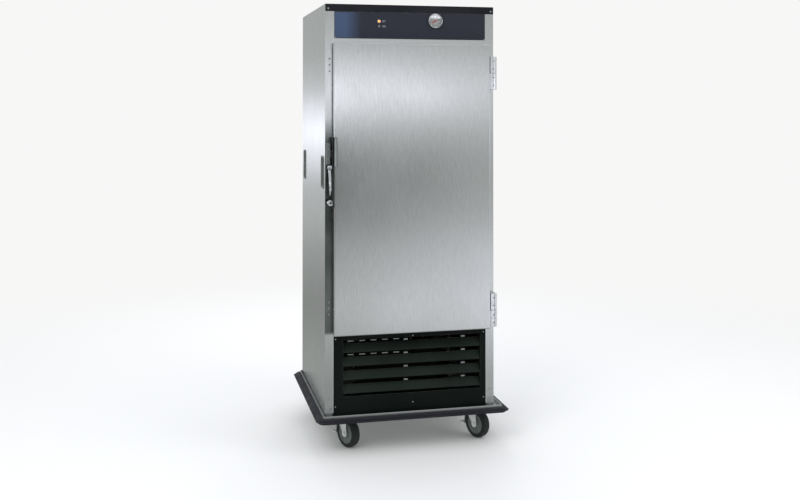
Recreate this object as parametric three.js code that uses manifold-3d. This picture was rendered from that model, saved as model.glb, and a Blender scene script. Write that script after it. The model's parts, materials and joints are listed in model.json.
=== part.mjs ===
// Mobile bakery cabinet: insulated upright body on a bumper base with four swivel casters, one full-height
// door on edge hinges, a control fascia above the door and a louvred machine compartment below it.
// Millimetres, +Z up, the front faces -Y, +X is the viewer's right.

import * as THREE from 'three';
import { mergeVertices } from 'three/addons/utils/BufferGeometryUtils.js';
import Module from 'manifold-3d';

const wasm = await Module();
wasm.setup();

// ---------------------------------------------------------------- driving dimensions

const BODY_WIDTH = 776;
const BODY_DEPTH = 752;
const TOP = 1990;
const SHEET = 2;
const GAP = 0.3;

const LEFT = -BODY_WIDTH / 2;
const RIGHT = BODY_WIDTH / 2;
const FRONT = -BODY_DEPTH / 2;
const BACK = BODY_DEPTH / 2;

// how far the base tray reaches past the body on each side, and the bumper past the tray
const TRAY_REACH = { left: 10, right: 32, front: 25, back: 18 };
const TRAY = { bottom: 150, deck: 162, floor: 166, lip: 183, wall: 2.5, corner: 6 };
const BUMPER = { thick: 20, fin: 12, bottom: 151, top: 172 };

const BODY_BOTTOM = TRAY.floor + GAP;
const ROOF = TOP - SHEET;

// openings in the front frame
const GRILLE_WINDOW = { half: 350, bottom: 170, top: 525 };
const DOOR_WINDOW = { half: 328, bottom: 578, top: 1803 };
const FASCIA = { half: 347.5, bottom: 1838, top: 1957 };

const DOOR = { half: 356, bottom: 534, top: 1816, gap: 5, thick: 48 };
const DOOR_FACE = FRONT - DOOR.gap - DOOR.thick;

const HINGE = { x: RIGHT - 2, y: FRONT - 27, knuckle: 9, pin: 4, height: 150 };
const HINGE_CENTRES = { upper: 1687, lower: 614 };

const LATCH = { outer: LEFT + 6, inner: -DOOR.half - GAP, bottom: 1092, shoulder: 1273, top: 1401 };
const LEVER = { y: FRONT - 34, z: 1254, eye: 6 };
const LOCK = { x: -371, z: 1115, radius: 8 };
const STRIKE = { bottom: 1281, top: 1376, depth: 20 };
const TONGUE_Z = [1310, 1340];

const WHEEL = { radius: 63.5, width: 38, trail: 38 };
const CASTER_TRACK = { centreX: 23.5, halfX: 304.5, frontY: -231, rearY: 300 };
const CASTER_PLATE = { length: 101, width: 83, thick: 4, boltX: 38, boltY: 29 };

const GRIP = { width: 77, height: 134, rim: 6, depth: 28, corner: 12, centreZ: 1243 };
const GRIP_INSET = { front: 73, back: 88 };

const LOUVRE_OPENING = { centreX: 9, half: 315, bottom: 257, top: 506 };
const LOUVRE = { first: 267, pitch: 60, rise: 36, depth: 24, thick: 1.6, count: 4 };

const RACK = {
  levels: 8,
  first: 680,
  pitch: 135,
  ledge: 80,
  rise: 14,
  front: FRONT + 40,
  back: 300,
  uprightsY: [-230, 190],
  uprightZ: [620, 1690],
};

// ---------------------------------------------------------------- geometry helpers

function toSolid(geometry) {
  const bare = geometry.clone();
  bare.deleteAttribute('normal');
  bare.deleteAttribute('uv');
  const merged = mergeVertices(bare, 1e-4);
  const vertProperties = new Float32Array(merged.attributes.position.array);
  const triVerts = new Uint32Array(merged.index.array);
  return new wasm.Manifold(new wasm.Mesh({ numProp: 3, vertProperties, triVerts }));
}

function fromSolid(solid) {
  const mesh = solid.getMesh();
  const geometry = new THREE.BufferGeometry();
  geometry.setAttribute('position', new THREE.BufferAttribute(new Float32Array(mesh.vertProperties), 3));
  geometry.setIndex(new THREE.BufferAttribute(new Uint32Array(mesh.triVerts), 1));
  geometry.computeVertexNormals();
  return geometry;
}

function join(...geometries) {
  return fromSolid(geometries.map(toSolid).reduce((whole, piece) => whole.add(piece)));
}

function cut(geometry, ...tools) {
  return fromSolid(tools.map(toSolid).reduce((whole, tool) => whole.subtract(tool), toSolid(geometry)));
}

function box([x0, x1], [y0, y1], [z0, z1]) {
  const geometry = new THREE.BoxGeometry(x1 - x0, y1 - y0, z1 - z0);
  return geometry.translate((x0 + x1) / 2, (y0 + y1) / 2, (z0 + z1) / 2);
}

function rectangle(path, [a0, a1], [b0, b1], corner = 0) {
  if (corner === 0) {
    path.moveTo(a0, b0);
    path.lineTo(a1, b0);
    path.lineTo(a1, b1);
    path.lineTo(a0, b1);
    path.closePath();
    return path;
  }
  path.moveTo(a0 + corner, b0);
  path.lineTo(a1 - corner, b0);
  path.absarc(a1 - corner, b0 + corner, corner, -Math.PI / 2, 0);
  path.lineTo(a1, b1 - corner);
  path.absarc(a1 - corner, b1 - corner, corner, 0, Math.PI / 2);
  path.lineTo(a0 + corner, b1);
  path.absarc(a0 + corner, b1 - corner, corner, Math.PI / 2, Math.PI);
  path.lineTo(a0, b0 + corner);
  path.absarc(a0 + corner, b0 + corner, corner, Math.PI, Math.PI * 1.5);
  return path;
}

// a flat outline drawn in X and Z, as thick as the given span in Y
function slabXZ(shape, [y0, y1], curveSegments = 4) {
  const geometry = new THREE.ExtrudeGeometry(shape, { depth: y1 - y0, bevelEnabled: false, curveSegments });
  return geometry.rotateX(Math.PI / 2).translate(0, y1, 0);
}

// a flat outline drawn in Y and Z, as thick as the given span in X
function slabYZ(shape, [x0, x1], curveSegments = 4) {
  const geometry = new THREE.ExtrudeGeometry(shape, { depth: x1 - x0, bevelEnabled: false, curveSegments });
  return geometry.rotateX(Math.PI / 2).rotateZ(Math.PI / 2).translate(x0, 0, 0);
}

// a flat outline drawn in X and Y, as thick as the given span in Z
function slabXY(shape, [z0, z1], curveSegments = 4) {
  const geometry = new THREE.ExtrudeGeometry(shape, { depth: z1 - z0, bevelEnabled: false, curveSegments });
  return geometry.translate(0, 0, z0);
}

function outline(points) {
  return new THREE.Shape(points.map(([a, b]) => new THREE.Vector2(a, b)));
}

// a turned piece about the Z axis; the profile is [radius, height] from axis to axis
function turned(profile, segments) {
  const points = profile.map(([radius, height]) => new THREE.Vector2(radius, height));
  return new THREE.LatheGeometry(points, segments).rotateX(Math.PI / 2);
}

function rod(radius, [z0, z1], segments = 20) {
  const geometry = new THREE.CylinderGeometry(radius, radius, z1 - z0, segments);
  return geometry.rotateX(Math.PI / 2).translate(0, 0, (z0 + z1) / 2);
}

// a rod along Y between two depths
function rodY(radius, x, [y0, y1], z, segments = 20) {
  const geometry = new THREE.CylinderGeometry(radius, radius, y1 - y0, segments);
  return geometry.translate(x, (y0 + y1) / 2, z);
}

// a rod along X between two sides
function rodX(radius, [x0, x1], y, z, segments = 20) {
  const geometry = new THREE.CylinderGeometry(radius, radius, x1 - x0, segments);
  return geometry.rotateZ(Math.PI / 2).translate((x0 + x1) / 2, y, z);
}

// a turned piece whose axis points out of the front, standing on the plane y
function turnedForward(profile, segments, x, y, z) {
  return turned(profile, segments).rotateX(Math.PI / 2).translate(x, y, z);
}

// a closed section, [outward, height], carried round a rectangle with round corners
function ringSweep(section, [x0, x1], [y0, y1], corner, cornerSteps) {
  const centres = [
    [x1 - corner, y0 + corner, -Math.PI / 2],
    [x1 - corner, y1 - corner, 0],
    [x0 + corner, y1 - corner, Math.PI / 2],
    [x0 + corner, y0 + corner, Math.PI],
  ];
  const stations = centres.flatMap(([cx, cy, start]) => {
    const turns = Array.from({ length: cornerSteps + 1 }, (_, step) => (step / cornerSteps) * (Math.PI / 2));
    return turns.map((turn) => [cx, cy, start + turn]);
  });
  const positions = stations.flatMap(([cx, cy, angle]) =>
    section.flatMap(([outward, height]) => [
      cx + (corner + outward) * Math.cos(angle),
      cy + (corner + outward) * Math.sin(angle),
      height,
    ]));
  const indices = [];
  stations.forEach((_, station) => {
    const here = station * section.length;
    const next = ((station + 1) % stations.length) * section.length;
    section.forEach((__, point) => {
      const after = (point + 1) % section.length;
      indices.push(here + point, next + point, next + after);
      indices.push(here + point, next + after, here + after);
    });
  });
  const geometry = new THREE.BufferGeometry();
  geometry.setAttribute('position', new THREE.Float32BufferAttribute(positions, 3));
  geometry.setIndex(indices);
  geometry.computeVertexNormals();
  return geometry;
}

// a round tube along a curve, with flat ends
function tube(points, radius, steps) {
  const path = new THREE.CatmullRomCurve3(points.map((point) => new THREE.Vector3(...point)));
  const section = new THREE.Shape();
  section.absarc(0, 0, radius, 0, Math.PI * 2);
  const options = { steps, extrudePath: path, bevelEnabled: false, curveSegments: 4 };
  return new THREE.ExtrudeGeometry(section, options);
}

// ---------------------------------------------------------------- finishes

const FINISHES = {
  stainless: { color: 0xb9bcbc, roughness: 0.32, metalness: 1.0 },
  chrome: { color: 0xd4d6d8, roughness: 0.12, metalness: 1.0 },
  zinc: { color: 0x9aa0a0, roughness: 0.4, metalness: 0.9 },
  aluminium: { color: 0xb4b7ba, roughness: 0.45, metalness: 0.9 },
  blackPaint: { color: 0x151917, roughness: 0.5, metalness: 0.1 },
  blackTrim: { color: 0x1c2022, roughness: 0.4, metalness: 0.0 },
  navyPanel: { color: 0x22252f, roughness: 0.45, metalness: 0.0 },
  greyCasting: { color: 0x565c5a, roughness: 0.5, metalness: 0.6 },
  vinyl: { color: 0x2a2a30, roughness: 0.6, metalness: 0.0 },
  seal: { color: 0x26282a, roughness: 0.8, metalness: 0.0 },
  tread: { color: 0x2b302f, roughness: 0.65, metalness: 0.0 },
  plastic: { color: 0x1d1f20, roughness: 0.55, metalness: 0.0 },
  amber: { color: 0xff8a2a, roughness: 0.3, metalness: 0.0 },
  dial: { color: 0xe9e9e4, roughness: 0.4, metalness: 0.0 },
  red: { color: 0xb02020, roughness: 0.5, metalness: 0.0 },
};

const cabinet = new THREE.Group();
cabinet.position.set(
  (TRAY_REACH.left - TRAY_REACH.right) / 2,
  (TRAY_REACH.front - TRAY_REACH.back) / 2,
  0,
);

function place(name, geometry, finish, parent = cabinet) {
  const mesh = new THREE.Mesh(geometry, new THREE.MeshStandardMaterial(FINISHES[finish]));
  mesh.name = name;
  parent.add(mesh);
  return mesh;
}

// ---------------------------------------------------------------- base

const TRAY_X = [LEFT - TRAY_REACH.left, RIGHT + TRAY_REACH.right];
const TRAY_Y = [FRONT - TRAY_REACH.front, BACK + TRAY_REACH.back];

function inset([low, high], by) {
  return [low + by, high - by];
}

function baseTray() {
  const ring = rectangle(new THREE.Shape(), TRAY_X, TRAY_Y, TRAY.corner);
  const insideX = inset(TRAY_X, TRAY.wall);
  const insideY = inset(TRAY_Y, TRAY.wall);
  ring.holes.push(rectangle(new THREE.Path(), insideX, insideY, TRAY.corner - TRAY.wall));
  const wall = slabXY(ring, [TRAY.bottom, TRAY.lip]);
  const deckOutline = rectangle(new THREE.Shape(), inset(TRAY_X, 1), inset(TRAY_Y, 1), TRAY.corner - 1);
  const deck = slabXY(deckOutline, [TRAY.deck, TRAY.floor]);
  return join(wall, deck);
}

// flat-faced bumper with a slim fin along the middle of its face
function bumper() {
  const middle = (BUMPER.bottom + BUMPER.top) / 2;
  const finRoot = 4;
  const finTip = 1.2;
  const edge = 2;
  const section = [
    [GAP, BUMPER.bottom],
    [BUMPER.thick - edge, BUMPER.bottom],
    [BUMPER.thick, BUMPER.bottom + edge],
    [BUMPER.thick, middle - finRoot],
    [BUMPER.thick + BUMPER.fin, middle - finTip],
    [BUMPER.thick + BUMPER.fin, middle + finTip],
    [BUMPER.thick, middle + finRoot],
    [BUMPER.thick, BUMPER.top - edge],
    [BUMPER.thick - edge, BUMPER.top],
    [GAP, BUMPER.top],
  ];
  return ringSweep(section, TRAY_X, TRAY_Y, TRAY.corner, 3);
}

place('base_tray', baseTray(), 'stainless');
place('bumper', bumper(), 'vinyl');

// ---------------------------------------------------------------- body shell

const GRIP_CENTRES_Y = { front: FRONT + GRIP_INSET.front, rear: BACK - GRIP_INSET.back };

function spanAbout(centre, size) {
  return [centre - size / 2, centre + size / 2];
}

function gripOutline(path, centreY, grow) {
  const spanY = spanAbout(centreY, GRIP.width + 2 * grow);
  const spanZ = spanAbout(GRIP.centreZ, GRIP.height + 2 * grow);
  return rectangle(path, spanY, spanZ, GRIP.corner + grow);
}

function sidePanel(outerX, innerX) {
  const shape = rectangle(new THREE.Shape(), [FRONT + SHEET + GAP, BACK], [BODY_BOTTOM, ROOF - GAP]);
  for (const centreY of Object.values(GRIP_CENTRES_Y)) {
    shape.holes.push(gripOutline(new THREE.Path(), centreY, 0));
  }
  return slabYZ(shape, [Math.min(outerX, innerX), Math.max(outerX, innerX)], 2);
}

const VENT = { count: 7, half: 130, centreX: 60, first: 250, pitch: 26, height: 8 };
const GLAND = { x: LEFT + 110, z: 225, hole: 12.5, bore: 6 };

function backPanel() {
  const spanBetweenSides = [LEFT + SHEET + GAP, RIGHT - SHEET - GAP];
  const shape = rectangle(new THREE.Shape(), spanBetweenSides, [BODY_BOTTOM, ROOF - GAP]);
  for (let slot = 0; slot < VENT.count; slot += 1) {
    const spanX = spanAbout(VENT.centreX, 2 * VENT.half);
    const spanZ = spanAbout(VENT.first + slot * VENT.pitch, VENT.height);
    shape.holes.push(rectangle(new THREE.Path(), spanX, spanZ));
  }
  const cordHole = new THREE.Path();
  cordHole.absarc(GLAND.x, GLAND.z, GLAND.hole, 0, Math.PI * 2);
  shape.holes.push(cordHole);
  return slabXZ(shape, [BACK - SHEET, BACK], 8);
}

function powerGland() {
  const neck = GLAND.hole - 0.5;
  const body = [[0, -14], [9, -14], [neck, -13.5], [neck, 0.2], [17, 0.2], [17, 7], [13, 8], [10, 20]];
  const bore = [[GLAND.bore, 20], [GLAND.bore, 2], [0, 2]];
  const profile = [...body, ...bore];
  return turned(profile, 16).rotateX(-Math.PI / 2).translate(GLAND.x, BACK + GAP, GLAND.z);
}

// the face frame: one plate with windows for fascia, door and grille, and folds behind it
function frontFrame() {
  const shape = rectangle(new THREE.Shape(), [LEFT, RIGHT], [BODY_BOTTOM, ROOF - GAP]);
  const windows = [
    [FASCIA.half - 10, FASCIA.bottom + 12, FASCIA.top - 12],
    [DOOR_WINDOW.half, DOOR_WINDOW.bottom, DOOR_WINDOW.top],
    [GRILLE_WINDOW.half, GRILLE_WINDOW.bottom, GRILLE_WINDOW.top],
  ];
  for (const [half, bottom, top] of windows) {
    shape.holes.push(rectangle(new THREE.Path(), [-half, half], [bottom, top]));
  }
  const plate = slabXZ(shape, [FRONT, FRONT + SHEET]);
  const foldDepth = [FRONT + 1, FRONT + 38];
  const folds = [-1, 1].map((side) => {
    const inner = side * GRILLE_WINDOW.half;
    const outer = side * (GRILLE_WINDOW.half + SHEET);
    return box([Math.min(inner, outer), Math.max(inner, outer)], foldDepth, [BODY_BOTTOM, ROOF - GAP]);
  });
  return join(plate, ...folds);
}

function topTrim() {
  return box([LEFT, RIGHT], [FRONT - SHEET - GAP, FRONT - GAP], [FASCIA.top + GAP, TOP]);
}

// a pressed hand grip: rim on the skin, cup behind it
function handGrip(side, centreY) {
  const skin = side < 0 ? LEFT : RIGHT;
  const outward = (distance) => skin + side * distance;
  const span = (a, b) => [Math.min(outward(a), outward(b)), Math.max(outward(a), outward(b))];
  const wall = 1.5;
  const cupOuter = slabYZ(gripOutline(new THREE.Shape(), centreY, -0.5), span(0.8, -GRIP.depth), 2);
  const rim = slabYZ(gripOutline(new THREE.Shape(), centreY, GRIP.rim), span(GAP, GAP + wall), 2);
  const hollow = slabYZ(gripOutline(new THREE.Shape(), centreY, -0.5 - wall), span(4, -GRIP.depth + wall), 2);
  return cut(join(cupOuter, rim), hollow);
}

place('side_panel_left', sidePanel(LEFT, LEFT + SHEET), 'stainless');
place('side_panel_right', sidePanel(RIGHT - SHEET, RIGHT), 'stainless');
place('back_panel', backPanel(), 'stainless');
place('top_panel', box([LEFT, RIGHT], [FRONT, BACK], [ROOF, TOP]), 'stainless');
place('front_frame', frontFrame(), 'stainless');
place('top_trim', topTrim(), 'blackTrim');
place('power_gland', powerGland(), 'plastic');
for (const [sideName, side] of [['left', -1], ['right', 1]]) {
  for (const [endName, centreY] of Object.entries(GRIP_CENTRES_Y)) {
    place(`hand_grip_${sideName}_${endName}`, handGrip(side, centreY), 'greyCasting');
  }
}

// ---------------------------------------------------------------- control fascia

const DIAL = { x: 113, z: 1922, radius: 33.5 };
const LAMP = { x: -146, z: 1916, radius: 5 };
const SWITCH = { x: -146, z: 1894, half: 7, travel: 2.5 };
const FASCIA_FACE = FRONT - GAP - 2.5;

function controlFascia() {
  const plate = box([-FASCIA.half, FASCIA.half], [FASCIA_FACE, FRONT - GAP], [FASCIA.bottom, FASCIA.top]);
  const through = [FASCIA_FACE - 5, FRONT + 5];
  const dialHole = rodY(6.5, DIAL.x, through, DIAL.z, 16);
  const lampHole = rodY(LAMP.radius - 1, LAMP.x, through, LAMP.z, 16);
  return cut(plate, dialHole, lampHole, slabXZ(diamond(SWITCH.half + 0.6), through));
}

function diamond(half) {
  const { x, z } = SWITCH;
  return outline([[x + half, z], [x, z + half], [x - half, z], [x, z - half]]);
}

function dialCase() {
  const profile = [
    [0, -12], [6, -12], [6, GAP], [DIAL.radius - 1.5, GAP], [DIAL.radius, 2], [DIAL.radius, 8],
    [DIAL.radius - 2, 10.5], [DIAL.radius - 4, 9.5], [DIAL.radius - 4.5, 3], [0, 3],
  ];
  return turnedForward(profile, 28, DIAL.x, FASCIA_FACE, DIAL.z);
}

// the pointer rests at the left end of its arc and turns clockwise
function dialNeedle() {
  const spanY = [FASCIA_FACE - 5, FASCIA_FACE - 3.6];
  const pointer = outline([[-6, -1.6], [-6, 1.6], [0, 1.8], [24, 0.6], [24, -0.6], [0, -1.8]]);
  const blade = slabXZ(pointer, spanY).rotateY(-Math.PI * 1.2);
  const hub = rodY(3.2, 0, [spanY[0] - 0.6, spanY[1] + 0.2], 0, 12);
  return join(blade, hub).translate(DIAL.x, 0, DIAL.z);
}

function indicatorLamp() {
  const { radius } = LAMP;
  const stem = [[0, -10], [radius - 1.5, -10], [radius - 1.5, GAP]];
  const lens = [[radius, GAP], [radius, 2], [radius * 0.75, 4.6], [radius * 0.4, 5.6], [0, 6]];
  const profile = [...stem, ...lens];
  return turnedForward(profile, 20, LAMP.x, FASCIA_FACE, LAMP.z);
}

function powerSwitch() {
  return slabXZ(diamond(SWITCH.half), [FASCIA_FACE - 4, FRONT + 4]);
}

place('control_fascia', controlFascia(), 'navyPanel');
place('dial_case', dialCase(), 'chrome');
place('dial_needle', dialNeedle(), 'red');
place('indicator_lamp', indicatorLamp(), 'amber');
place('power_switch', powerSwitch(), 'greyCasting');

// ---------------------------------------------------------------- heated and chilled chamber

function chamberLiner() {
  const { half, bottom, top } = DOOR_WINDOW;
  const backWall = 318;
  const spanY = [FRONT + SHEET + GAP, backWall + SHEET];
  const outer = box([-half - SHEET, half + SHEET], spanY, [bottom - SHEET, top + SHEET]);
  const hollow = box([-half, half], [FRONT - 10, backWall], [bottom, top]);
  return cut(outer, hollow);
}

// pan slides welded to two uprights; side is -1 for the left rack
function panRack(side) {
  const wallX = side * (DOOR_WINDOW.half - GAP);
  const uprightX = wallX - side * 10;
  const span = (a, b) => [Math.min(a, b), Math.max(a, b)];
  const uprights = RACK.uprightsY.map((y) => box(span(wallX, uprightX), spanAbout(y, 26), RACK.uprightZ));
  const slides = Array.from({ length: RACK.levels }, (_, level) => {
    const z = RACK.first + level * RACK.pitch;
    const along = [RACK.front, RACK.back];
    const ledge = box(span(uprightX + side, uprightX - side * (RACK.ledge - 1)), along, [z, z + SHEET]);
    const flange = box(span(uprightX + side, uprightX - side), along, [z, z + RACK.rise]);
    return join(ledge, flange);
  });
  return join(...uprights, ...slides);
}

const BLOWER = { y: 110, half: 210, front: -60, back: 300, bottom: 1705, wall: 1.5, inlet: 85, rotor: 74 };
const OUTLET = { pitch: 130, width: 100, bottom: 30, top: 65 };
const HEATER = { radius: 100, rod: 4.2, rise: 28 };

function airDuct() {
  const top = DOOR_WINDOW.top - GAP;
  const outer = box([-BLOWER.half, BLOWER.half], [BLOWER.front, BLOWER.back], [BLOWER.bottom, top]);
  const insideX = inset([-BLOWER.half, BLOWER.half], BLOWER.wall);
  const insideY = inset([BLOWER.front, BLOWER.back], BLOWER.wall);
  const hollow = box(insideX, insideY, [BLOWER.bottom + BLOWER.wall, top - BLOWER.wall]);
  const inlet = rod(BLOWER.inlet, spanAbout(BLOWER.bottom, 10), 32).translate(0, BLOWER.y, 0);
  const outletZ = [BLOWER.bottom + OUTLET.bottom, BLOWER.bottom + OUTLET.top];
  const outlets = [-1, 0, 1].map((place) =>
    box(spanAbout(place * OUTLET.pitch, OUTLET.width), spanAbout(BLOWER.front, 10), outletZ));
  const motor = rod(34, [BLOWER.bottom + 46, top - 1], 20).translate(0, BLOWER.y, 0);
  return join(cut(outer, hollow, inlet, ...outlets), motor);
}

// a fan about the Z axis: hub and pitched blades
function fanRotor({ radius, hub, height, blades, pitch }) {
  const core = rod(hub, [0, height], 20);
  const length = radius - hub + 3;
  const wings = Array.from({ length: blades }, (_, blade) => {
    const wing = new THREE.BoxGeometry(length, height * 2.2, 1.8);
    wing.rotateX(pitch).translate(hub - 3 + length / 2, 0, height / 2);
    return wing.rotateZ((blade / blades) * Math.PI * 2);
  });
  return join(core, ...wings);
}

function circulationFan() {
  const rotor = fanRotor({ radius: BLOWER.rotor, hub: 20, height: 22, blades: 6, pitch: 0.5 });
  return rotor.translate(0, BLOWER.y, BLOWER.bottom + 18);
}

function heaterElement() {
  const height = BLOWER.bottom + HEATER.rise;
  const ring = new THREE.TorusGeometry(HEATER.radius, HEATER.rod, 6, 24).translate(0, BLOWER.y, height);
  const legSpan = [height, DOOR_WINDOW.top - BLOWER.wall - 2 * GAP];
  const leg = rod(HEATER.rod, legSpan, 8).translate(0, BLOWER.y, 0);
  const legs = [-1, 1].map((side) => leg.clone().translate(side * HEATER.radius, 0, 0));
  return join(ring, ...legs);
}

const PAN = { x: [-190, 190], y: [-60, 220], height: 55, rim: 10, corner: 20 };

function waterPan() {
  const floor = DOOR_WINDOW.bottom + GAP;
  const lip = floor + PAN.height;
  const sized = (grow) =>
    rectangle(new THREE.Shape(), inset(PAN.x, -grow), inset(PAN.y, -grow), PAN.corner + grow);
  const outer = slabXY(sized(0), [floor, lip], 2);
  const hollow = slabXY(sized(-SHEET), [floor + SHEET, lip + 5], 2);
  const rim = slabXY(sized(PAN.rim), [lip - SHEET, lip], 2);
  return cut(join(outer, rim), hollow);
}

place('chamber_liner', chamberLiner(), 'stainless');
place('pan_rack_left', panRack(-1), 'stainless');
place('pan_rack_right', panRack(1), 'stainless');
place('air_duct', airDuct(), 'stainless');
place('circulation_fan', circulationFan(), 'aluminium');
place('heater_element', heaterElement(), 'greyCasting');
place('water_pan', waterPan(), 'stainless');

// ---------------------------------------------------------------- machine compartment

const GRILLE_Y = FRONT + 3;
const LOUVRE_X = spanAbout(LOUVRE_OPENING.centreX, 2 * LOUVRE_OPENING.half);
const STRAPS_X = [-17, 250];

function grilleFrame() {
  const { half, bottom, top } = GRILLE_WINDOW;
  const openZ = [LOUVRE_OPENING.bottom, LOUVRE_OPENING.top];
  const shape = rectangle(new THREE.Shape(), [-half + GAP, half - GAP], [bottom + GAP, top - GAP]);
  shape.holes.push(rectangle(new THREE.Path(), LOUVRE_X, openZ));
  const plate = slabXZ(shape, [GRILLE_Y, GRILLE_Y + SHEET]);
  const foldSpan = [GRILLE_Y + 1, GRILLE_Y + 34];
  const outer = box(inset(LOUVRE_X, -SHEET), foldSpan, inset(openZ, -SHEET));
  const inner = box(LOUVRE_X, [GRILLE_Y - 5, GRILLE_Y + 40], openZ);
  const straps = STRAPS_X.map((x) => box(spanAbout(x, 12), [GRILLE_Y + 31, GRILLE_Y + 34], inset(openZ, -1)));
  return join(plate, cut(outer, inner), ...straps);
}

// one slat, its lower edge forward and turned down in a short hem
function louvreBlade(index) {
  const z = LOUVRE.first + index * LOUVRE.pitch;
  const near = GRILLE_Y + 3;
  const far = near + LOUVRE.depth;
  const section = outline([
    [near, z],
    [near + LOUVRE.thick, z],
    [near + LOUVRE.thick, z + 5],
    [far, z + LOUVRE.rise - 1],
    [far, z + LOUVRE.rise + 1],
    [near, z + 6],
  ]);
  return slabYZ(section, inset(LOUVRE_X, GAP));
}

const COIL = { x: [-230, 110], y: [FRONT + 70, FRONT + 112], z: [200, 470], tubes: 5 };

function condenserCoil() {
  const core = box(COIL.x, COIL.y, COIL.z);
  const sides = COIL.x.map((x) => box(spanAbout(x, 2), inset(COIL.y, -6), [TRAY.floor + GAP, COIL.z[1] + 6]));
  const middleY = (COIL.y[0] + COIL.y[1]) / 2;
  const pitch = (COIL.z[1] - COIL.z[0]) / COIL.tubes;
  const bends = Array.from({ length: COIL.tubes }, (_, bend) => {
    const z = COIL.z[0] + (bend + 0.5) * pitch;
    const reach = 22;
    const points = [[0, -12], [reach * 0.8, -11], [reach, 0], [reach * 0.8, 11], [0, 12]];
    return tube(points.map(([out, rise]) => [COIL.x[0] - out + 2, middleY, z + rise]), 4.5, 6);
  });
  return join(core, ...sides, ...bends);
}

const FAN = { x: -60, z: 335, y: COIL.y[1] + 24, radius: 104, ring: 114 };

function fanShroud() {
  const plateSpan = [COIL.y[1] + 6.5, COIL.y[1] + 8.5];
  const plate = box([-222, 102], plateSpan, [205, 465]);
  const ring = rodY(FAN.ring, FAN.x, [plateSpan[0], plateSpan[1] + 30], FAN.z, 32);
  const bore = rodY(FAN.ring - 3, FAN.x, [plateSpan[0] - 5, plateSpan[1] + 40], FAN.z, 32);
  const motorSpan = [FAN.y + 26, FAN.y + 86];
  const motor = rodY(38, FAN.x, motorSpan, FAN.z, 20);
  const reach = FAN.ring - 1;
  const struts = [0, 1, 2].map((strut) => {
    const bar = new THREE.BoxGeometry(reach - 30, 4, 12).translate(15 + reach / 2, motorSpan[0] + 3, 0);
    const post = new THREE.BoxGeometry(6, 30, 12).translate(reach - 3, motorSpan[0] - 10, 0);
    const arm = join(bar, post).rotateY((strut / 3) * Math.PI * 2 + Math.PI / 2);
    return arm.translate(FAN.x, 0, FAN.z);
  });
  return join(cut(join(plate, ring), bore), motor, ...struts);
}

function condenserFan() {
  const rotor = fanRotor({ radius: FAN.radius, hub: 24, height: 18, blades: 5, pitch: 0.55 });
  return rotor.rotateX(-Math.PI / 2).translate(FAN.x, FAN.y, FAN.z);
}

function compressor() {
  const floor = TRAY.floor + GAP;
  const feet = [[-90, -55], [90, -55], [-90, 55], [90, 55]];
  const shellProfile = [
    [0, 14], [60, 14], [86, 36], [90, 94], [94, 96], [94, 101], [90, 103], [86, 150], [55, 184], [0, 194],
  ];
  const shell = turned(shellProfile, 22).translate(0, 0, floor);
  const foot = box([-105, 105], [-70, 70], [floor + 10, floor + 15]);
  const mounts = feet.map(([x, y]) => rod(12, [floor, floor + 12], 12).translate(x, y, 0));
  return join(shell, foot, ...mounts).translate(215, 90, 0);
}

place('grille_frame', grilleFrame(), 'blackPaint');
for (let index = 0; index < LOUVRE.count; index += 1) {
  place(`louvre_blade_${index + 1}`, louvreBlade(index), 'blackPaint');
}
place('condenser_coil', condenserCoil(), 'aluminium');
place('fan_shroud', fanShroud(), 'blackPaint');
place('condenser_fan', condenserFan(), 'aluminium');
place('compressor', compressor(), 'blackPaint');

// ---------------------------------------------------------------- door

// a sheet pan with rounded front edges, open towards the cabinet
function doorSkin() {
  const round = 4;
  const wall = 1.5;
  const spanX = [-DOOR.half, DOOR.half];
  const spanZ = [DOOR.bottom, DOOR.top];
  const face = rectangle(new THREE.Shape(), inset(spanX, round), inset(spanZ, round), 3);
  const depth = DOOR.thick - 8;
  const block = new THREE.ExtrudeGeometry(face, {
    depth: depth - round,
    bevelEnabled: true,
    bevelThickness: round,
    bevelSize: round,
    bevelSegments: 3,
    curveSegments: 3,
  });
  block.rotateX(Math.PI / 2).translate(0, DOOR_FACE + depth, 0);
  const rear = box(inset(spanX, -10), [DOOR_FACE + depth, DOOR_FACE + depth + 20], inset(spanZ, -10));
  const hollow = box(inset(spanX, wall), [DOOR_FACE + wall, DOOR_FACE + depth + 20], inset(spanZ, wall));
  return cut(block, rear, hollow);
}

// the inner pan nests in the skin and closes the door
function doorLiner() {
  const inward = 2;
  const spanX = inset([-DOOR.half, DOOR.half], inward);
  const spanZ = inset([DOOR.bottom, DOOR.top], inward);
  const outer = box(spanX, [DOOR_FACE + 6, FRONT - DOOR.gap - 2], spanZ);
  const hollow = box(inset(spanX, SHEET), [DOOR_FACE, FRONT - DOOR.gap - 2 - SHEET], inset(spanZ, SHEET));
  return cut(outer, hollow);
}

function doorGasket() {
  const spanX = [-DOOR_WINDOW.half - 16, DOOR_WINDOW.half + 16];
  const spanZ = [DOOR_WINDOW.bottom - 16, DOOR_WINDOW.top + 9];
  const ring = rectangle(new THREE.Shape(), spanX, spanZ, 6);
  ring.holes.push(rectangle(new THREE.Path(), inset(spanX, 12), inset(spanZ, 12), 3));
  return slabXZ(ring, [FRONT - DOOR.gap - 2 + GAP, FRONT - 0.5], 2);
}

place('door_skin', doorSkin(), 'stainless');
place('door_liner', doorLiner(), 'stainless');
place('door_gasket', doorGasket(), 'seal');

// ---------------------------------------------------------------- hinges

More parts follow.
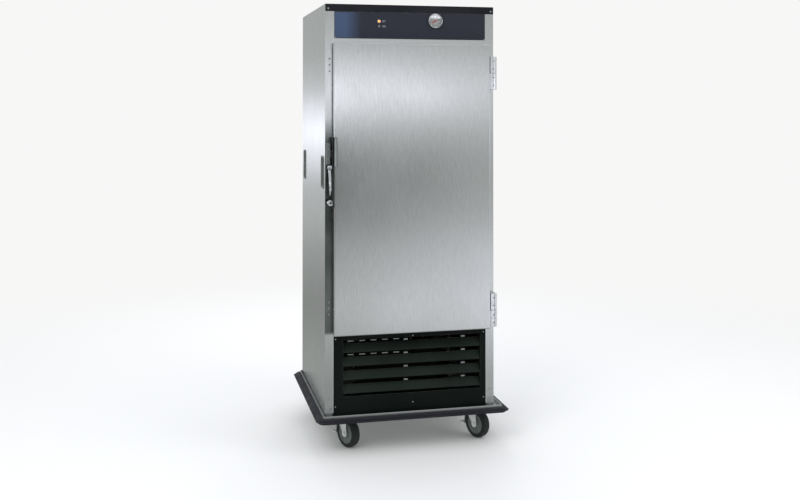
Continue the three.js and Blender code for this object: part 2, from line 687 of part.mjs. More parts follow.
// the frame half carries the pin and stands on the post, above the door half
function hingeFrameHalf(centreZ) {
  const spanZ = [centreZ + GAP, centreZ + HINGE.height / 2];
  const knuckle = rod(HINGE.knuckle, spanZ, 24).translate(HINGE.x, HINGE.y, 0);
  const block = box([HINGE.x - 22, HINGE.x], [HINGE.y - 7, FRONT - GAP], spanZ);
  const pinSpan = [centreZ - HINGE.height / 2 + 4, centreZ + 10];
  const pin = rod(HINGE.pin, pinSpan, 16).translate(HINGE.x, HINGE.y, 0);
  return join(knuckle, block, pin);
}

function hingeDoorHalf(centreZ) {
  const spanZ = [centreZ - HINGE.height / 2, centreZ - GAP];
  const knuckle = rod(HINGE.knuckle, spanZ, 24).translate(HINGE.x, HINGE.y, 0);
  const arm = box([DOOR.half + 2, HINGE.x], [HINGE.y - 7, HINGE.y + 5], spanZ);
  const leaf = box([DOOR.half + GAP, DOOR.half + 4], [DOOR_FACE + 5, FRONT - DOOR.gap - 9], spanZ);
  const bore = rod(HINGE.pin + 0.4, [spanZ[0] - 5, spanZ[1] + 5], 16).translate(HINGE.x, HINGE.y, 0);
  return cut(join(knuckle, arm, leaf), bore);
}

for (const [where, centreZ] of Object.entries(HINGE_CENTRES)) {
  place(`hinge_${where}_frame`, hingeFrameHalf(centreZ), 'chrome');
  place(`hinge_${where}_door`, hingeDoorHalf(centreZ), 'chrome');
}

// ---------------------------------------------------------------- latch

const LATCH_PLATE = [LATCH.inner - 3.5, LATCH.inner];

function latchStrike() {
  const { bottom, top } = STRIKE;
  const near = FRONT - STRIKE.depth;
  const far = FRONT - GAP;
  const noseOutline = [[near + 4, bottom], [near, bottom + 6], [near, top - 10], [near + 8, top]];
  const profile = outline([[far, bottom], ...noseOutline, [far, top]]);
  return slabYZ(profile, [LEFT + 3, LEFT + 20]);
}

function latchCase() {
  const upperZ = [LATCH.shoulder, LATCH.top];
  const edgePlate = box(LATCH_PLATE, [DOOR_FACE + 2, FRONT - 14], [LATCH.bottom, LATCH.top]);
  const faceFlange = box([LATCH_PLATE[0], -343], [DOOR_FACE - 2.7, DOOR_FACE - GAP], upperZ);
  const corner = box(LATCH_PLATE, [DOOR_FACE - 2.7, DOOR_FACE + 4], upperZ);
  const housingZ = [LEVER.z + 7, LEVER.z + 24];
  const housing = box([LATCH.outer, LATCH_PLATE[1]], [FRONT - 45, FRONT - 24], housingZ);
  const tongue = box([LEFT + 21, LATCH_PLATE[1]], [FRONT - 32, FRONT - 22], TONGUE_Z);
  const lockEar = rodY(LOCK.radius + 5, LOCK.x, [FRONT - 44, FRONT - 24], LOCK.z, 24);
  const lockBridge = box([LOCK.x, LATCH_PLATE[1]], [FRONT - 42, FRONT - 26], spanAbout(LOCK.z, 20));
  const bore = rodY(LOCK.radius + 0.5, LOCK.x, [FRONT - 50, FRONT - 30], LOCK.z, 20);
  return cut(join(edgePlate, faceFlange, corner, housing, tongue, lockEar, lockBridge), bore);
}

// pull lever: an eye below the housing and a blade that bows forward, ending in a point
function latchLever() {
  const { y, z } = LEVER;
  const blade = outline([
    [y - 5, z],
    [y - 11, z - 30],
    [y - 13.5, z - 64],
    [y - 12, z - 96],
    [y - 7, z - 108],
    [y - 6, z - 96],
    [y - 7.5, z - 64],
    [y - 5, z - 30],
    [y + 5, z],
  ]);
  const spanX = [LATCH.outer + 2, LATCH.inner - 5.5];
  return join(slabYZ(blade, spanX), rodX(LEVER.eye, spanX, y, z, 20));
}

function lockPlug() {
  const face = FRONT - 45.5;
  const barrel = rodY(LOCK.radius, LOCK.x, [face, FRONT - 30 - GAP], LOCK.z, 20);
  const keyway = box(spanAbout(LOCK.x, 2), [face - 5, face + 6], spanAbout(LOCK.z, 9));
  return cut(barrel, keyway);
}

place('latch_strike', latchStrike(), 'greyCasting');
place('latch_case', latchCase(), 'blackTrim');
place('latch_lever', latchLever(), 'chrome');
place('lock_plug', lockPlug(), 'chrome');

// ---------------------------------------------------------------- casters

const AXLE_Z = WHEEL.radius;
const PLATE_TOP = TRAY.deck - GAP;
const PLATE_BOTTOM = PLATE_TOP - CASTER_PLATE.thick;
const RACE_DEPTH = 6;

// the top plate with its bolts' nuts, and the ball race below it
function casterPlate() {
  const half = { x: CASTER_PLATE.length / 2, y: CASTER_PLATE.width / 2 };
  const plateOutline = rectangle(new THREE.Shape(), [-half.x, half.x], [-half.y, half.y], 8);
  const plate = slabXY(plateOutline, [PLATE_BOTTOM, PLATE_TOP], 2);
  const raceBottom = PLATE_BOTTOM - RACE_DEPTH;
  const raceTop = PLATE_BOTTOM + 1;
  const raceProfile = [[0, raceBottom], [24, raceBottom], [30, raceBottom + 5], [30, raceTop], [0, raceTop]];
  const nuts = [-1, 1].flatMap((sideX) => [-1, 1].map((sideY) => {
    const nut = rod(6.5, [PLATE_BOTTOM - 5, PLATE_BOTTOM + 1], 6);
    return nut.translate(sideX * CASTER_PLATE.boltX, sideY * CASTER_PLATE.boltY, 0);
  }));
  return join(plate, turned(raceProfile, 18), ...nuts);
}

// the kick brake hangs in front of the wheel's leading edge; its shoe is an arc about the axle
const PEDAL = {
  pivotX: -36, pivotZ: 124, halfWidth: 15, drop: 11,
  inner: 71, outer: 74, from: -0.2, to: 0.95,
};

// fork about the swivel axis, the wheel trailing along +X; a braked one has lugs for the pedal's pin
function casterFork(brake) {
  const crownTop = PLATE_BOTTOM - RACE_DEPTH - GAP;
  const crownRim = [[34, crownTop - 12], [34, crownTop - 4], [30, crownTop]];
  const crown = turned([[0, crownTop - 12], ...crownRim, [0, crownTop]], 18);
  const bridge = box([-28, 46], spanAbout(0, WHEEL.width + 12), [crownTop - 15, crownTop - 9]);
  const legShape = outline([
    [-28, crownTop - 9],
    [46, crownTop - 9],
    [WHEEL.trail + 18, AXLE_Z + 12],
    [WHEEL.trail + 14, AXLE_Z - 10],
    [WHEEL.trail + 6, AXLE_Z - 16],
    [WHEEL.trail - 6, AXLE_Z - 16],
    [WHEEL.trail - 14, AXLE_Z - 8],
  ]);
  const bothSides = (near, far, make) =>
    [-1, 1].map((side) => make([Math.min(side * near, side * far), Math.max(side * near, side * far)]));
  const half = WHEEL.width / 2;
  const legs = bothSides(half + 3, half + 6, (span) => slabXZ(legShape, span));
  const nuts = bothSides(half + 5, half + 12, (span) => rodY(9, WHEEL.trail, span, AXLE_Z, 6));
  const axle = rodY(5, WHEEL.trail, [-half - 11, half + 11], AXLE_Z, 12);
  const fork = join(crown, bridge, ...legs, axle, ...nuts);
  if (!brake) {
    return fork;
  }
  const lugZ = spanAbout(PEDAL.pivotZ, 11);
  const lugs = bothSides(PEDAL.halfWidth + 2, half + 5, (span) => box([PEDAL.pivotX - 6, -8], span, lugZ));
  const pinHole = rodY(3, PEDAL.pivotX, [-30, 30], PEDAL.pivotZ, 12);
  return cut(join(fork, ...lugs), pinHole);
}

// hub and tyre turned about the axle, with a crowned tread and dished sides
function casterWheel() {
  const { radius, width } = WHEEL;
  const half = width / 2;
  const bore = 5.4;
  const rightSide = [
    [bore, half + 2],
    [14, half + 2],
    [17, half - 5],
    [43, half - 5],
    [46, half],
    [58, half],
    [radius, half - 10],
  ];
  const leftSide = rightSide.map(([r, h]) => [r, -h]).reverse();
  const profile = [...rightSide, ...leftSide];
  const closed = [...profile, profile[0]].reverse();
  return turned(closed, 32).rotateX(Math.PI / 2).translate(WHEEL.trail, 0, AXLE_Z);
}

// the brake pedal: a knuckle and pin, a curved shoe ahead of the tread, and a tab for the foot
function brakePedal() {
  const { pivotX, pivotZ, halfWidth } = PEDAL;
  const shape = new THREE.Shape();
  shape.absarc(WHEEL.trail, AXLE_Z, PEDAL.outer, Math.PI - PEDAL.to, Math.PI - PEDAL.from);
  shape.absarc(WHEEL.trail, AXLE_Z, PEDAL.inner, Math.PI - PEDAL.from, Math.PI - PEDAL.to, true);
  const shoe = slabXZ(shape, [-halfWidth, halfWidth], 10);
  const tabX = [WHEEL.trail - 100, WHEEL.trail - 70];
  const tab = box(tabX, spanAbout(0, 2 * halfWidth + 8), spanAbout(AXLE_Z - PEDAL.drop, 6));
  const knuckle = rodY(5, pivotX, [-halfWidth, halfWidth], pivotZ, 14);
  const pin = rodY(2.6, pivotX, [-halfWidth - 9, halfWidth + 9], pivotZ, 10);
  const web = box([pivotX, -4], [-halfWidth, halfWidth], [pivotZ - 3, pivotZ + 3]);
  return join(shoe, tab, knuckle, pin, web);
}

const { frontY, rearY } = CASTER_TRACK;
const FORWARD = -Math.PI / 2;
const CASTERS = [
  { name: 'front_left', side: -1, y: frontY, heading: FORWARD + 0.49, brake: true },
  { name: 'front_right', side: 1, y: frontY, heading: FORWARD + 0.49, brake: true },
  { name: 'rear_left', side: -1, y: rearY, heading: FORWARD + 0.25, brake: false },
  { name: 'rear_right', side: 1, y: rearY, heading: FORWARD + 0.7, brake: false },
];

for (const { name, side, y, heading, brake } of CASTERS) {
  const mount = new THREE.Group();
  mount.position.set(CASTER_TRACK.centreX + side * CASTER_TRACK.halfX, y, 0);
  cabinet.add(mount);
  place(`caster_plate_${name}`, casterPlate(), 'zinc', mount);
  const swivel = new THREE.Group();
  swivel.rotation.z = heading;
  mount.add(swivel);
  place(`caster_fork_${name}`, casterFork(brake), 'zinc', swivel);
  place(`caster_wheel_${name}`, casterWheel(), 'tread', swivel);
  if (brake) {
    place(`brake_pedal_${name}`, brakePedal(), 'zinc', swivel);
  }
}

export default cabinet;
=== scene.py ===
import json
import math

import bmesh
import bpy
from mathutils import Matrix, Vector


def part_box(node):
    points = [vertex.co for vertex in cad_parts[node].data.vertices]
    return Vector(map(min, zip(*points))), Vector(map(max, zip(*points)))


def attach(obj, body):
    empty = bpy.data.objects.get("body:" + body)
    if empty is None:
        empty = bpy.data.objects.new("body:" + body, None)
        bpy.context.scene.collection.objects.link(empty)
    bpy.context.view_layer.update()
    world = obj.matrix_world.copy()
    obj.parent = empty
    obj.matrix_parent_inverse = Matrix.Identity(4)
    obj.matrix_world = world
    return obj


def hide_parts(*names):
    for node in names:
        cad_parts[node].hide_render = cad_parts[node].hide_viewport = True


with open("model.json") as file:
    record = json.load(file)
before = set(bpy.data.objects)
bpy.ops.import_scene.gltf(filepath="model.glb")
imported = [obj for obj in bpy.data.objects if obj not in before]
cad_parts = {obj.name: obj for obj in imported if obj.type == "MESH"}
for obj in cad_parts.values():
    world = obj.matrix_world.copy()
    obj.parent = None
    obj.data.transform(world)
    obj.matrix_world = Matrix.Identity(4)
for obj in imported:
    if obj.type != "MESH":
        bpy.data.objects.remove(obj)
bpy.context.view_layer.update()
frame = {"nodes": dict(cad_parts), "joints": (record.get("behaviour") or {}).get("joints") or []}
NODES = frame["nodes"]
MM = 0.001


def low(node):
    return Vector(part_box(node)[0]) / MM


def high(node):
    return Vector(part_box(node)[1]) / MM


def ends(node):
    return low(node), high(node)


def middle(node):
    return (low(node) + high(node)) / 2


def pivot(joint_name):
    """Where a joint's axis passes."""
    row = next(row for row in frame["joints"] if row["name"] == joint_name)
    return Vector(row["pos_m"]) / MM


def linked(name, data):
    made = bpy.data.objects.new(name, data)
    bpy.context.scene.collection.objects.link(made)
    return made


# ---------------------------------------------------------------- node helpers

class Tree:
    """Short ways to add and join nodes. A socket is fed a plain value or another node's output."""

    def __init__(self, tree):
        self.nodes, self.links = tree.nodes, tree.links

    def feed(self, socket, value):
        if isinstance(value, bpy.types.NodeSocket):
            self.links.new(value, socket)
        else:
            socket.default_value = value

    def add(self, kind, sockets, output=0, **settings):
        node = self.nodes.new(f"ShaderNode{kind}")
        for setting, value in settings.items():
            setattr(node, setting, value)
        for socket, value in sockets.items():
            self.feed(node.inputs[socket], value)
        return node.outputs[output]

    def ranged(self, value, lowest, highest, from_low=0.3, from_high=0.7):
        sockets = {"Value": value, "From Min": from_low, "From Max": from_high}
        sockets |= {"To Min": lowest, "To Max": highest}
        return self.add("MapRange", sockets, "Result")

    def mixed(self, factor, first, second):
        first, second = ((*value, 1) if isinstance(value, tuple) else value for value in (first, second))
        return self.add("Mix", {"Factor": factor, "A": first, "B": second}, "Result", data_type="RGBA")


# ---------------------------------------------------------------- camera, light and floor

# the viewpoint, worked out from how the cabinet's corners line up in perspective
CAMERA_PLACE = (-1.0773, -4.7757, 1.5532)
CAMERA_TURN = 13.0
CAMERA_PITCH = 0.8
LENS = 45.4
SHIFT_Y = -0.2018


def add_camera():
    data = bpy.data.cameras.new("camera")
    data.lens = LENS
    data.sensor_width = 36
    data.shift_y = SHIFT_Y
    camera = linked("camera", data)
    camera.location = CAMERA_PLACE
    camera.rotation_euler = (math.radians(90 + CAMERA_PITCH), 0, math.radians(-CAMERA_TURN))
    bpy.context.scene.camera = camera


def add_area_light(name, place, target, size, power):
    data = bpy.data.lights.new(name, "AREA")
    data.shape = "RECTANGLE"
    data.size, data.size_y = size
    data.energy = power
    light = linked(name, data)
    light.location = place
    direction = Vector(target) - Vector(place)
    light.rotation_euler = direction.to_track_quat("-Z", "Y").to_euler()
    light.visible_glossy = False


# what the metal mirrors at each height of view (1 is straight up, 0 the horizon): brightness of the room
# to the left of the camera, to the right of it, and on the far side, which the left flank mirrors
STUDIO_LEFT = (
    (-1.00, 0.42), (-0.25, 0.34), (-0.21, 0.60), (-0.16, 0.46), (-0.10, 0.17), (-0.07, 0.07), (-0.045, 0.24),
    (-0.02, 0.80), (0.008, 2.00), (0.035, 1.05), (0.06, 0.54), (0.25, 0.60), (1.00, 1.00),
)
STUDIO_RIGHT = (
    (-1.00, 0.50), (-0.25, 0.42), (-0.21, 1.30), (-0.16, 0.98), (-0.10, 0.62), (-0.07, 0.58), (-0.045, 0.48),
    (-0.02, 0.64), (0.008, 0.94), (0.035, 0.72), (0.06, 0.50), (0.25, 0.60), (1.00, 1.00),
)
STUDIO_FAR = (
    (-1.00, 0.45), (-0.25, 0.42), (-0.19, 0.32), (-0.15, 0.42), (-0.11, 0.58), (-0.08, 0.62), (-0.055, 1.15),
    (-0.03, 1.75), (-0.01, 1.30), (0.015, 0.70), (0.05, 0.52), (0.25, 0.60), (1.00, 1.00),
)
LEFT_EDGE, RIGHT_EDGE = 0.15, 0.32
FRONT_EDGE, FAR_EDGE = -0.1, 0.1
GREEN_SHADE = (0.975, 1.02, 0.975)
COOL_LIGHT = (0.965, 0.985, 1.05)
SHADE_ENDS, LIGHT_SPAN = 0.4, 0.6
BACKDROP = (0.93, 0.93, 0.925, 1)
FLOOR_COLOUR = (0.88, 0.88, 0.875, 1)
FLOOR_REACH = 40
FADE_FROM, FADE_TO = 1.0, 4.5


def room_colour(brightness):
    """Dim parts of the room are a little green, bright ones a little blue."""
    share = min(1, max(0, (brightness - SHADE_ENDS) / LIGHT_SPAN))
    return [brightness * (dim + (cool - dim) * share) for dim, cool in zip(GREEN_SHADE, COOL_LIGHT)]


def bands(tree, height, table):
    """The room's colour over the height of view."""
    colour = tree.add("ValToRGB", {"Fac": height}, "Color")
    ramp = colour.node.color_ramp
    ramp.interpolation = "EASE"
    while len(ramp.elements) < len(table):
        ramp.elements.new(0.5)
    for element, (level, brightness) in zip(ramp.elements, table):
        element.position = (level + 1) / 2
        element.color = (*room_colour(brightness), 1)
    return colour


def add_world():
    """The room as the metal mirrors it, and a plain backdrop where the camera looks straight at it."""
    world = bpy.data.worlds.new("studio")
    bpy.context.scene.world = world
    world.use_nodes = True
    tree = Tree(world.node_tree)
    tree.nodes.clear()
    direction = tree.add("SeparateXYZ", {0: tree.add("TexCoord", {}, "Generated")}).node.outputs
    height = tree.ranged(direction["Z"], 0, 1, -1, 1)
    left, right, far = (bands(tree, height, table) for table in (STUDIO_LEFT, STUDIO_RIGHT, STUDIO_FAR))
    near = tree.mixed(tree.ranged(direction["X"], 0, 1, LEFT_EDGE, RIGHT_EDGE), left, right)
    room = tree.mixed(tree.ranged(direction["Y"], 0, 1, FRONT_EDGE, FAR_EDGE), near, far)
    mirrored = tree.add("Background", {"Color": room})
    seen = tree.add("Background", {"Color": BACKDROP})
    straight = tree.add("LightPath", {}, "Is Camera Ray")
    whole = tree.add("MixShader", {"Fac": straight, 1: mirrored, 2: seen})
    tree.feed(tree.nodes.new("ShaderNodeOutputWorld").inputs["Surface"], whole)


def add_floor():
    """A pale floor that runs into the backdrop a few metres away, so no horizon shows."""
    mesh = bpy.data.meshes.new("floor")
    corners = [(a * FLOOR_REACH, b * FLOOR_REACH, 0) for a, b in ((-1, -1), (1, -1), (1, 1), (-1, 1))]
    mesh.from_pydata(corners, [], [(0, 1, 2, 3)])
    floor = linked("floor", mesh)
    material = bpy.data.materials.new("floor")
    material.use_nodes = True
    tree = Tree(material.node_tree)
    shader = tree.nodes["Principled BSDF"]
    tree.feed(shader.inputs["Base Color"], FLOOR_COLOUR)
    tree.feed(shader.inputs["Roughness"], 0.7)
    backdrop = tree.add("Emission", {"Color": BACKDROP})
    distance = tree.add("VectorMath", {0: tree.add("TexCoord", {}, "Object")}, "Value", operation="LENGTH")
    sockets = {"Value": distance, "From Min": FADE_FROM, "From Max": FADE_TO}
    fade = tree.add("MapRange", sockets, "Result", interpolation_type="SMOOTHSTEP")
    whole = tree.add("MixShader", {"Fac": fade, 1: shader.outputs[0], 2: backdrop})
    tree.feed(tree.nodes["Material Output"].inputs["Surface"], whole)
    mesh.materials.append(material)
    floor.visible_glossy = False


add_camera()
add_world()
add_floor()
add_area_light("key", (-2.6, -3.4, 3.6), (0, 0, 1.0), (2.4, 2.4), 90)
add_area_light("fill", (3.2, -2.6, 2.2), (0, 0, 0.9), (2.0, 2.6), 40)
add_area_light("back", (0.5, 3.8, 3.2), (0, 0, 1.0), (2.6, 2.0), 60)
bpy.context.scene.view_settings.view_transform = "Standard"


# ---------------------------------------------------------------- materials

X_AXIS, Y_AXIS, Z_AXIS = 0, 1, 2
DULL_SPECULAR = 0.12


def toned(colour, factor, lift=0.0):
    return tuple(min(1, channel * factor + lift) for channel in colour)


class Surface(Tree):
    """A procedural material: a principled shader with helpers for noise, ramps and bump."""

    def __init__(self, name, colour, roughness, metallic=0.0):
        self.material = bpy.data.materials.new(name)
        self.material.use_nodes = True
        super().__init__(self.material.node_tree)
        self.shader = self.nodes["Principled BSDF"].inputs
        self.shade("Base Color", (*colour, 1))
        self.shade("Roughness", roughness)
        self.shade("Metallic", metallic)
        self.coordinates = self.add("TexCoord", {}, "Object")

    def shade(self, socket, value):
        self.feed(self.shader[socket], value)

    def along(self, axis, start, end, first=0.0, last=1.0):
        """Goes from first to last between two places, in millimetres, on one of the piece's own axes."""
        place = self.add("SeparateXYZ", {0: self.coordinates}, axis)
        return self.ranged(place, first, last, start * MM, end * MM)

    def noise(self, scale, detail=4.0, stretch=(1, 1, 1)):
        stretched = self.add("Mapping", {"Vector": self.coordinates, "Scale": stretch}, "Vector")
        return self.add("TexNoise", {"Vector": stretched, "Scale": scale, "Detail": detail}, "Fac")

    def math(self, operation, first, second):
        return self.add("Math", {0: first, 1: second}, "Value", operation=operation)

    def rough(self, value, lowest, highest):
        self.shade("Roughness", self.ranged(value, lowest, highest))

    def bump(self, height, strength, distance):
        sockets = {"Strength": strength, "Distance": distance, "Height": height}
        self.shade("Normal", self.add("Bump", sockets, "Normal"))

    def edge_wear(self, radius):
        """1 along the piece's own sharp edges, 0 elsewhere."""
        rounded = self.add("Bevel", {"Radius": radius}, "Normal")
        flat = self.add("NewGeometry", {}, "Normal")
        match = self.add("VectorMath", {0: rounded, 1: flat}, "Value", operation="DOT_PRODUCT")
        return self.ranged(match, 1.0, 0.0, 0.85, 0.995)


def brushed_surface(name, colour, grain, roughness, anisotropy):
    """Brushed sheet: fine streaks along the grain, faint smears and wiping marks across it."""
    surface = Surface(name, colour, 0.22, 1.0)
    coarse_grain, fine_grain = [1.0] * 3, [0.6] * 3
    coarse_grain[grain] = fine_grain[grain] = 0.012
    streaks = surface.noise(900, 3, coarse_grain)
    fine = surface.noise(2600, 2, fine_grain)
    smears = surface.ranged(surface.noise(2.6, 5, (1, 1, 0.6)), -0.02, 0.05)
    clouds = surface.ranged(surface.noise(0.9, 3), 0.0, 0.35)
    surface.shade("Roughness", surface.math("ADD", surface.ranged(streaks, *roughness), smears))
    fine_share = surface.ranged(fine, 0.0, 1.0, 0.35, 0.65)
    plain_colour = surface.mixed(fine_share, toned(colour, 0.88), toned(colour, 1.06))
    surface.shade("Base Color", surface.mixed(clouds, plain_colour, toned(colour, 0.93)))
    surface.bump(streaks, 0.10, 0.00012)
    surface.shade("Anisotropic", anisotropy)
    surface.shade("Tangent", surface.add("Tangent", {}, direction_type="RADIAL", axis="Z"))
    return surface


def brushed_steel(name, colour, grain, roughness=(0.17, 0.27), anisotropy=0.55):
    return brushed_surface(name, colour, grain, roughness, anisotropy).material


def post_steel(name, colour, dark_reflection):
    """Body steel with a painted dark reflection on its left post beside the latch, from knee to shoulder
    height.
    """
    surface = brushed_surface(name, colour, Z_AXIS, (0.12, 0.20), 0.6)
    edge, foot, shoulder = low("door_skin").x, low("door_skin").z, high("latch_case").z
    left = surface.along("X", edge - 1, edge + 1, 1.0, 0.0)
    under = surface.along("Z", shoulder - 20, shoulder + 90, 1.0, 0.0)
    over = surface.along("Z", foot - 4, foot + 8)
    # painted dark reflection: the post darkened from the door's foot up to about the latch's top
    reflection_mask = surface.math("MULTIPLY", left, surface.math("MULTIPLY", under, over))
    uneven = surface.math("MULTIPLY", reflection_mask, surface.ranged(surface.noise(9, 4), 0.78, 1.0))
    plain_colour = surface.shader["Base Color"].links[0].from_socket
    surface.shade("Base Color", surface.mixed(uneven, plain_colour, dark_reflection))
    return surface.material


def polished(name, colour, roughness=0.08):
    surface = Surface(name, colour, roughness, 1.0)
    surface.rough(surface.noise(60, 4), roughness, roughness + 0.12)
    surface.bump(surface.noise(900, 2), 0.03, 0.0001)
    return surface.material


def zinc_plate(name, colour):
    """Plated pressings: mottled sheen and a little dirt in random patches."""
    surface = Surface(name, colour, 0.38, 0.9)
    mottle = surface.noise(140, 5)
    grime = surface.ranged(surface.noise(22, 4), 0.0, 0.8, 0.45, 0.8)
    surface.shade("Base Color", surface.mixed(grime, colour, toned(colour, 0.55)))
    surface.rough(mottle, 0.26, 0.52)
    surface.bump(mottle, 0.08, 0.0002)
    return surface.material


def powder_coat(name, colour, roughness=0.45, worn=(0.30, 0.31, 0.31)):
    """Black coated sheet with a fine orange peel and rubbed edges."""
    surface = Surface(name, colour, roughness)
    dust = surface.noise(5, 5)
    rubbed = surface.ranged(surface.noise(45, 4), 0.0, 0.55)
    wear = surface.math("MULTIPLY", surface.edge_wear(0.0012), rubbed)
    dusty = surface.mixed(surface.ranged(dust, 0.0, 1.0), colour, toned(colour, 1.6, 0.002))
    surface.shade("Base Color", surface.mixed(wear, dusty, worn))
    surface.rough(dust, roughness - 0.08, roughness + 0.12)
    surface.bump(surface.noise(700, 3), 0.12, 0.0002)
    surface.shade("Specular IOR Level", DULL_SPECULAR)
    return surface.material


def moulded(name, colour, roughness=0.55, grain=1400, strength=0.15):
    """Moulded rubber or plastic: fine texture, slightly paler where it is rubbed."""
    surface = Surface(name, colour, roughness)
    marks = surface.noise(16, 5)
    rubbed = surface.math("MAXIMUM", surface.ranged(marks, 0.0, 0.5, 0.5, 0.8), surface.edge_wear(0.0015))
    share = surface.math("MULTIPLY", rubbed, 0.6)
    surface.shade("Base Color", surface.mixed(share, colour, toned(colour, 1.5, 0.015)))
    surface.rough(marks, roughness - 0.1, roughness + 0.12)
    surface.bump(surface.noise(grain, 3), strength, 0.0002)
    surface.shade("Specular IOR Level", DULL_SPECULAR)
    return surface.material


def enamel(name, colour, roughness=0.3):
    surface = Surface(name, colour, roughness)
    chipped = surface.math("MULTIPLY", surface.edge_wear(0.0008), 0.5)
    surface.shade("Base Color", surface.mixed(chipped, colour, toned(colour, 2, 0.12)))
    surface.rough(surface.noise(30, 3), roughness - 0.05, roughness + 0.15)
    surface.bump(surface.noise(220, 2), 0.05, 0.0003)
    return surface.material


def fascia_overlay(name):
    """Dark navy overlay film with a plain blue block fading out near its left end."""
    surface = Surface(name, (0.022, 0.024, 0.033), 0.36)
    left = low("control_fascia").x
    block = surface.along("X", left + 50, left + 120, 1.0, 0.0)
    weave = surface.ranged(surface.noise(500, 2), 0.85, 1.0)
    blue = surface.mixed(weave, (0.030, 0.046, 0.088), (0.050, 0.074, 0.135))
    navy = surface.mixed(weave, (0.019, 0.021, 0.029), (0.024, 0.026, 0.037))
    surface.shade("Base Color", surface.mixed(block, navy, blue))
    surface.rough(surface.noise(12, 4), 0.30, 0.46)
    surface.bump(surface.noise(1200, 2), 0.06, 0.0001)
    surface.shade("Specular IOR Level", DULL_SPECULAR)
    return surface.material


def glowing(name, colour, strength):
    surface = Surface(name, colour, 0.25)
    surface.shade("Emission Color", (*colour, 1))
    surface.shade("Emission Strength", strength)
    surface.rough(surface.noise(800, 2), 0.18, 0.34)
    return surface.material


def clear_glass(name):
    surface = Surface(name, (1, 1, 1), 0.03)
    surface.shade("Transmission Weight", 1.0)
    surface.shade("IOR", 1.1)
    surface.rough(surface.noise(90, 3), 0.01, 0.05)
    return surface.material


def printed_card(name, colour):
    surface = Surface(name, colour, 0.5)
    faded = surface.ranged(surface.noise(40, 4), 0.0, 1.0)
    surface.shade("Base Color", surface.mixed(faded, colour, toned(colour, 0.9)))
    surface.rough(surface.noise(200, 3), 0.42, 0.6)
    return surface.material


def dial_metal(name, lower, upper):
    """Silvered dial: satin metal, palest at the top, where a painted highlight stands for the hood of light
    falling on it.
    """
    surface = Surface(name, lower, 0.4)
    centre = middle("dial_case").z
    # painted highlight: the card paler towards its top
    rise = surface.along("Z", centre + 6, centre + 17)
    mottled = surface.ranged(surface.noise(160, 3), 0.0, 0.12)
    surface.shade("Base Color", surface.mixed(surface.math("SUBTRACT", rise, mottled), lower, upper))
    surface.rough(surface.noise(300, 2), 0.34, 0.5)
    return surface.material


STEEL = brushed_steel("steel_body", (0.60, 0.61, 0.61), Z_AXIS)
STEEL_DOOR = brushed_steel("steel_door", (0.66, 0.67, 0.67), Z_AXIS, (0.11, 0.17), 0.8)
STEEL_FLAT = brushed_steel("steel_flat", (0.58, 0.59, 0.59), Y_AXIS, (0.26, 0.38), 0.3)
# a paler copy of the body steel for rolled and folded edges: partly their polish, partly a painted highlight
# along them
STEEL_EDGE = brushed_steel("steel_edge", (0.86, 0.87, 0.87), X_AXIS, (0.12, 0.22), 0.4)
# the last colour is the painted dark reflection on the left post
STEEL_POST = post_steel("steel_post", (0.66, 0.67, 0.67), (0.085, 0.105, 0.095))
STEEL_INNER = brushed_steel("steel_inner", (0.60, 0.61, 0.61), Z_AXIS, (0.28, 0.42), 0.2)
CHROME = polished("chrome", (0.74, 0.75, 0.77))
ZINC = zinc_plate("zinc", (0.42, 0.44, 0.44))
# a paler copy of the zinc: painted light on the caster parts, which sit in the shade of the tray
CASTER_ZINC = zinc_plate("caster_zinc", (0.82, 0.84, 0.84))
ALUMINIUM = brushed_steel("aluminium", (0.62, 0.64, 0.66), Z_AXIS, (0.34, 0.5), 0.0)
# near-black fins are painted shade: they stand in for the dark inside the machine bay, seen through the
# grille
DARK_FIN = powder_coat("dark_fin", (0.004, 0.005, 0.004), 0.6, (0.02, 0.02, 0.02))
COPPER = polished("copper", (0.72, 0.36, 0.20), 0.22)
BLACK_SHEET = powder_coat("black_sheet", (0.0012, 0.0030, 0.0020))
BLACK_SLAT = powder_coat("black_slat", (0.0060, 0.0095, 0.0065), 0.38)
BLACK_TRIM = powder_coat("black_trim", (0.0080, 0.0085, 0.0110), 0.32)
BLACK_ENAMEL = enamel("black_enamel", (0.012, 0.012, 0.013))
GREY_CASTING = powder_coat("grey_casting", (0.10, 0.11, 0.105), 0.42, (0.45, 0.46, 0.46))
RED_ENAMEL = enamel("red_enamel", (0.45, 0.02, 0.015))
VINYL = moulded("vinyl", (0.020, 0.020, 0.025), 0.5)
SEAL = moulded("seal", (0.030, 0.031, 0.033), 0.65)
TREAD = moulded("tread", (0.022, 0.026, 0.025), 0.55, 900, 0.25)
HUB_PLASTIC = moulded("hub_plastic", (0.16, 0.18, 0.17), 0.5)
PLASTIC = moulded("plastic", (0.015, 0.015, 0.016), 0.5)
FASCIA = fascia_overlay("fascia")
PRINT = printed_card("print", (0.42, 0.43, 0.45))
PRINT_DARK = printed_card("print_dark", (0.02, 0.02, 0.02))
DIAL_CARD = dial_metal("dial_card", (0.26, 0.27, 0.27), (0.88, 0.89, 0.92))
AMBER = glowing("amber", (1.0, 0.28, 0.04), 1.6)
GLASS = clear_glass("dial_glass")

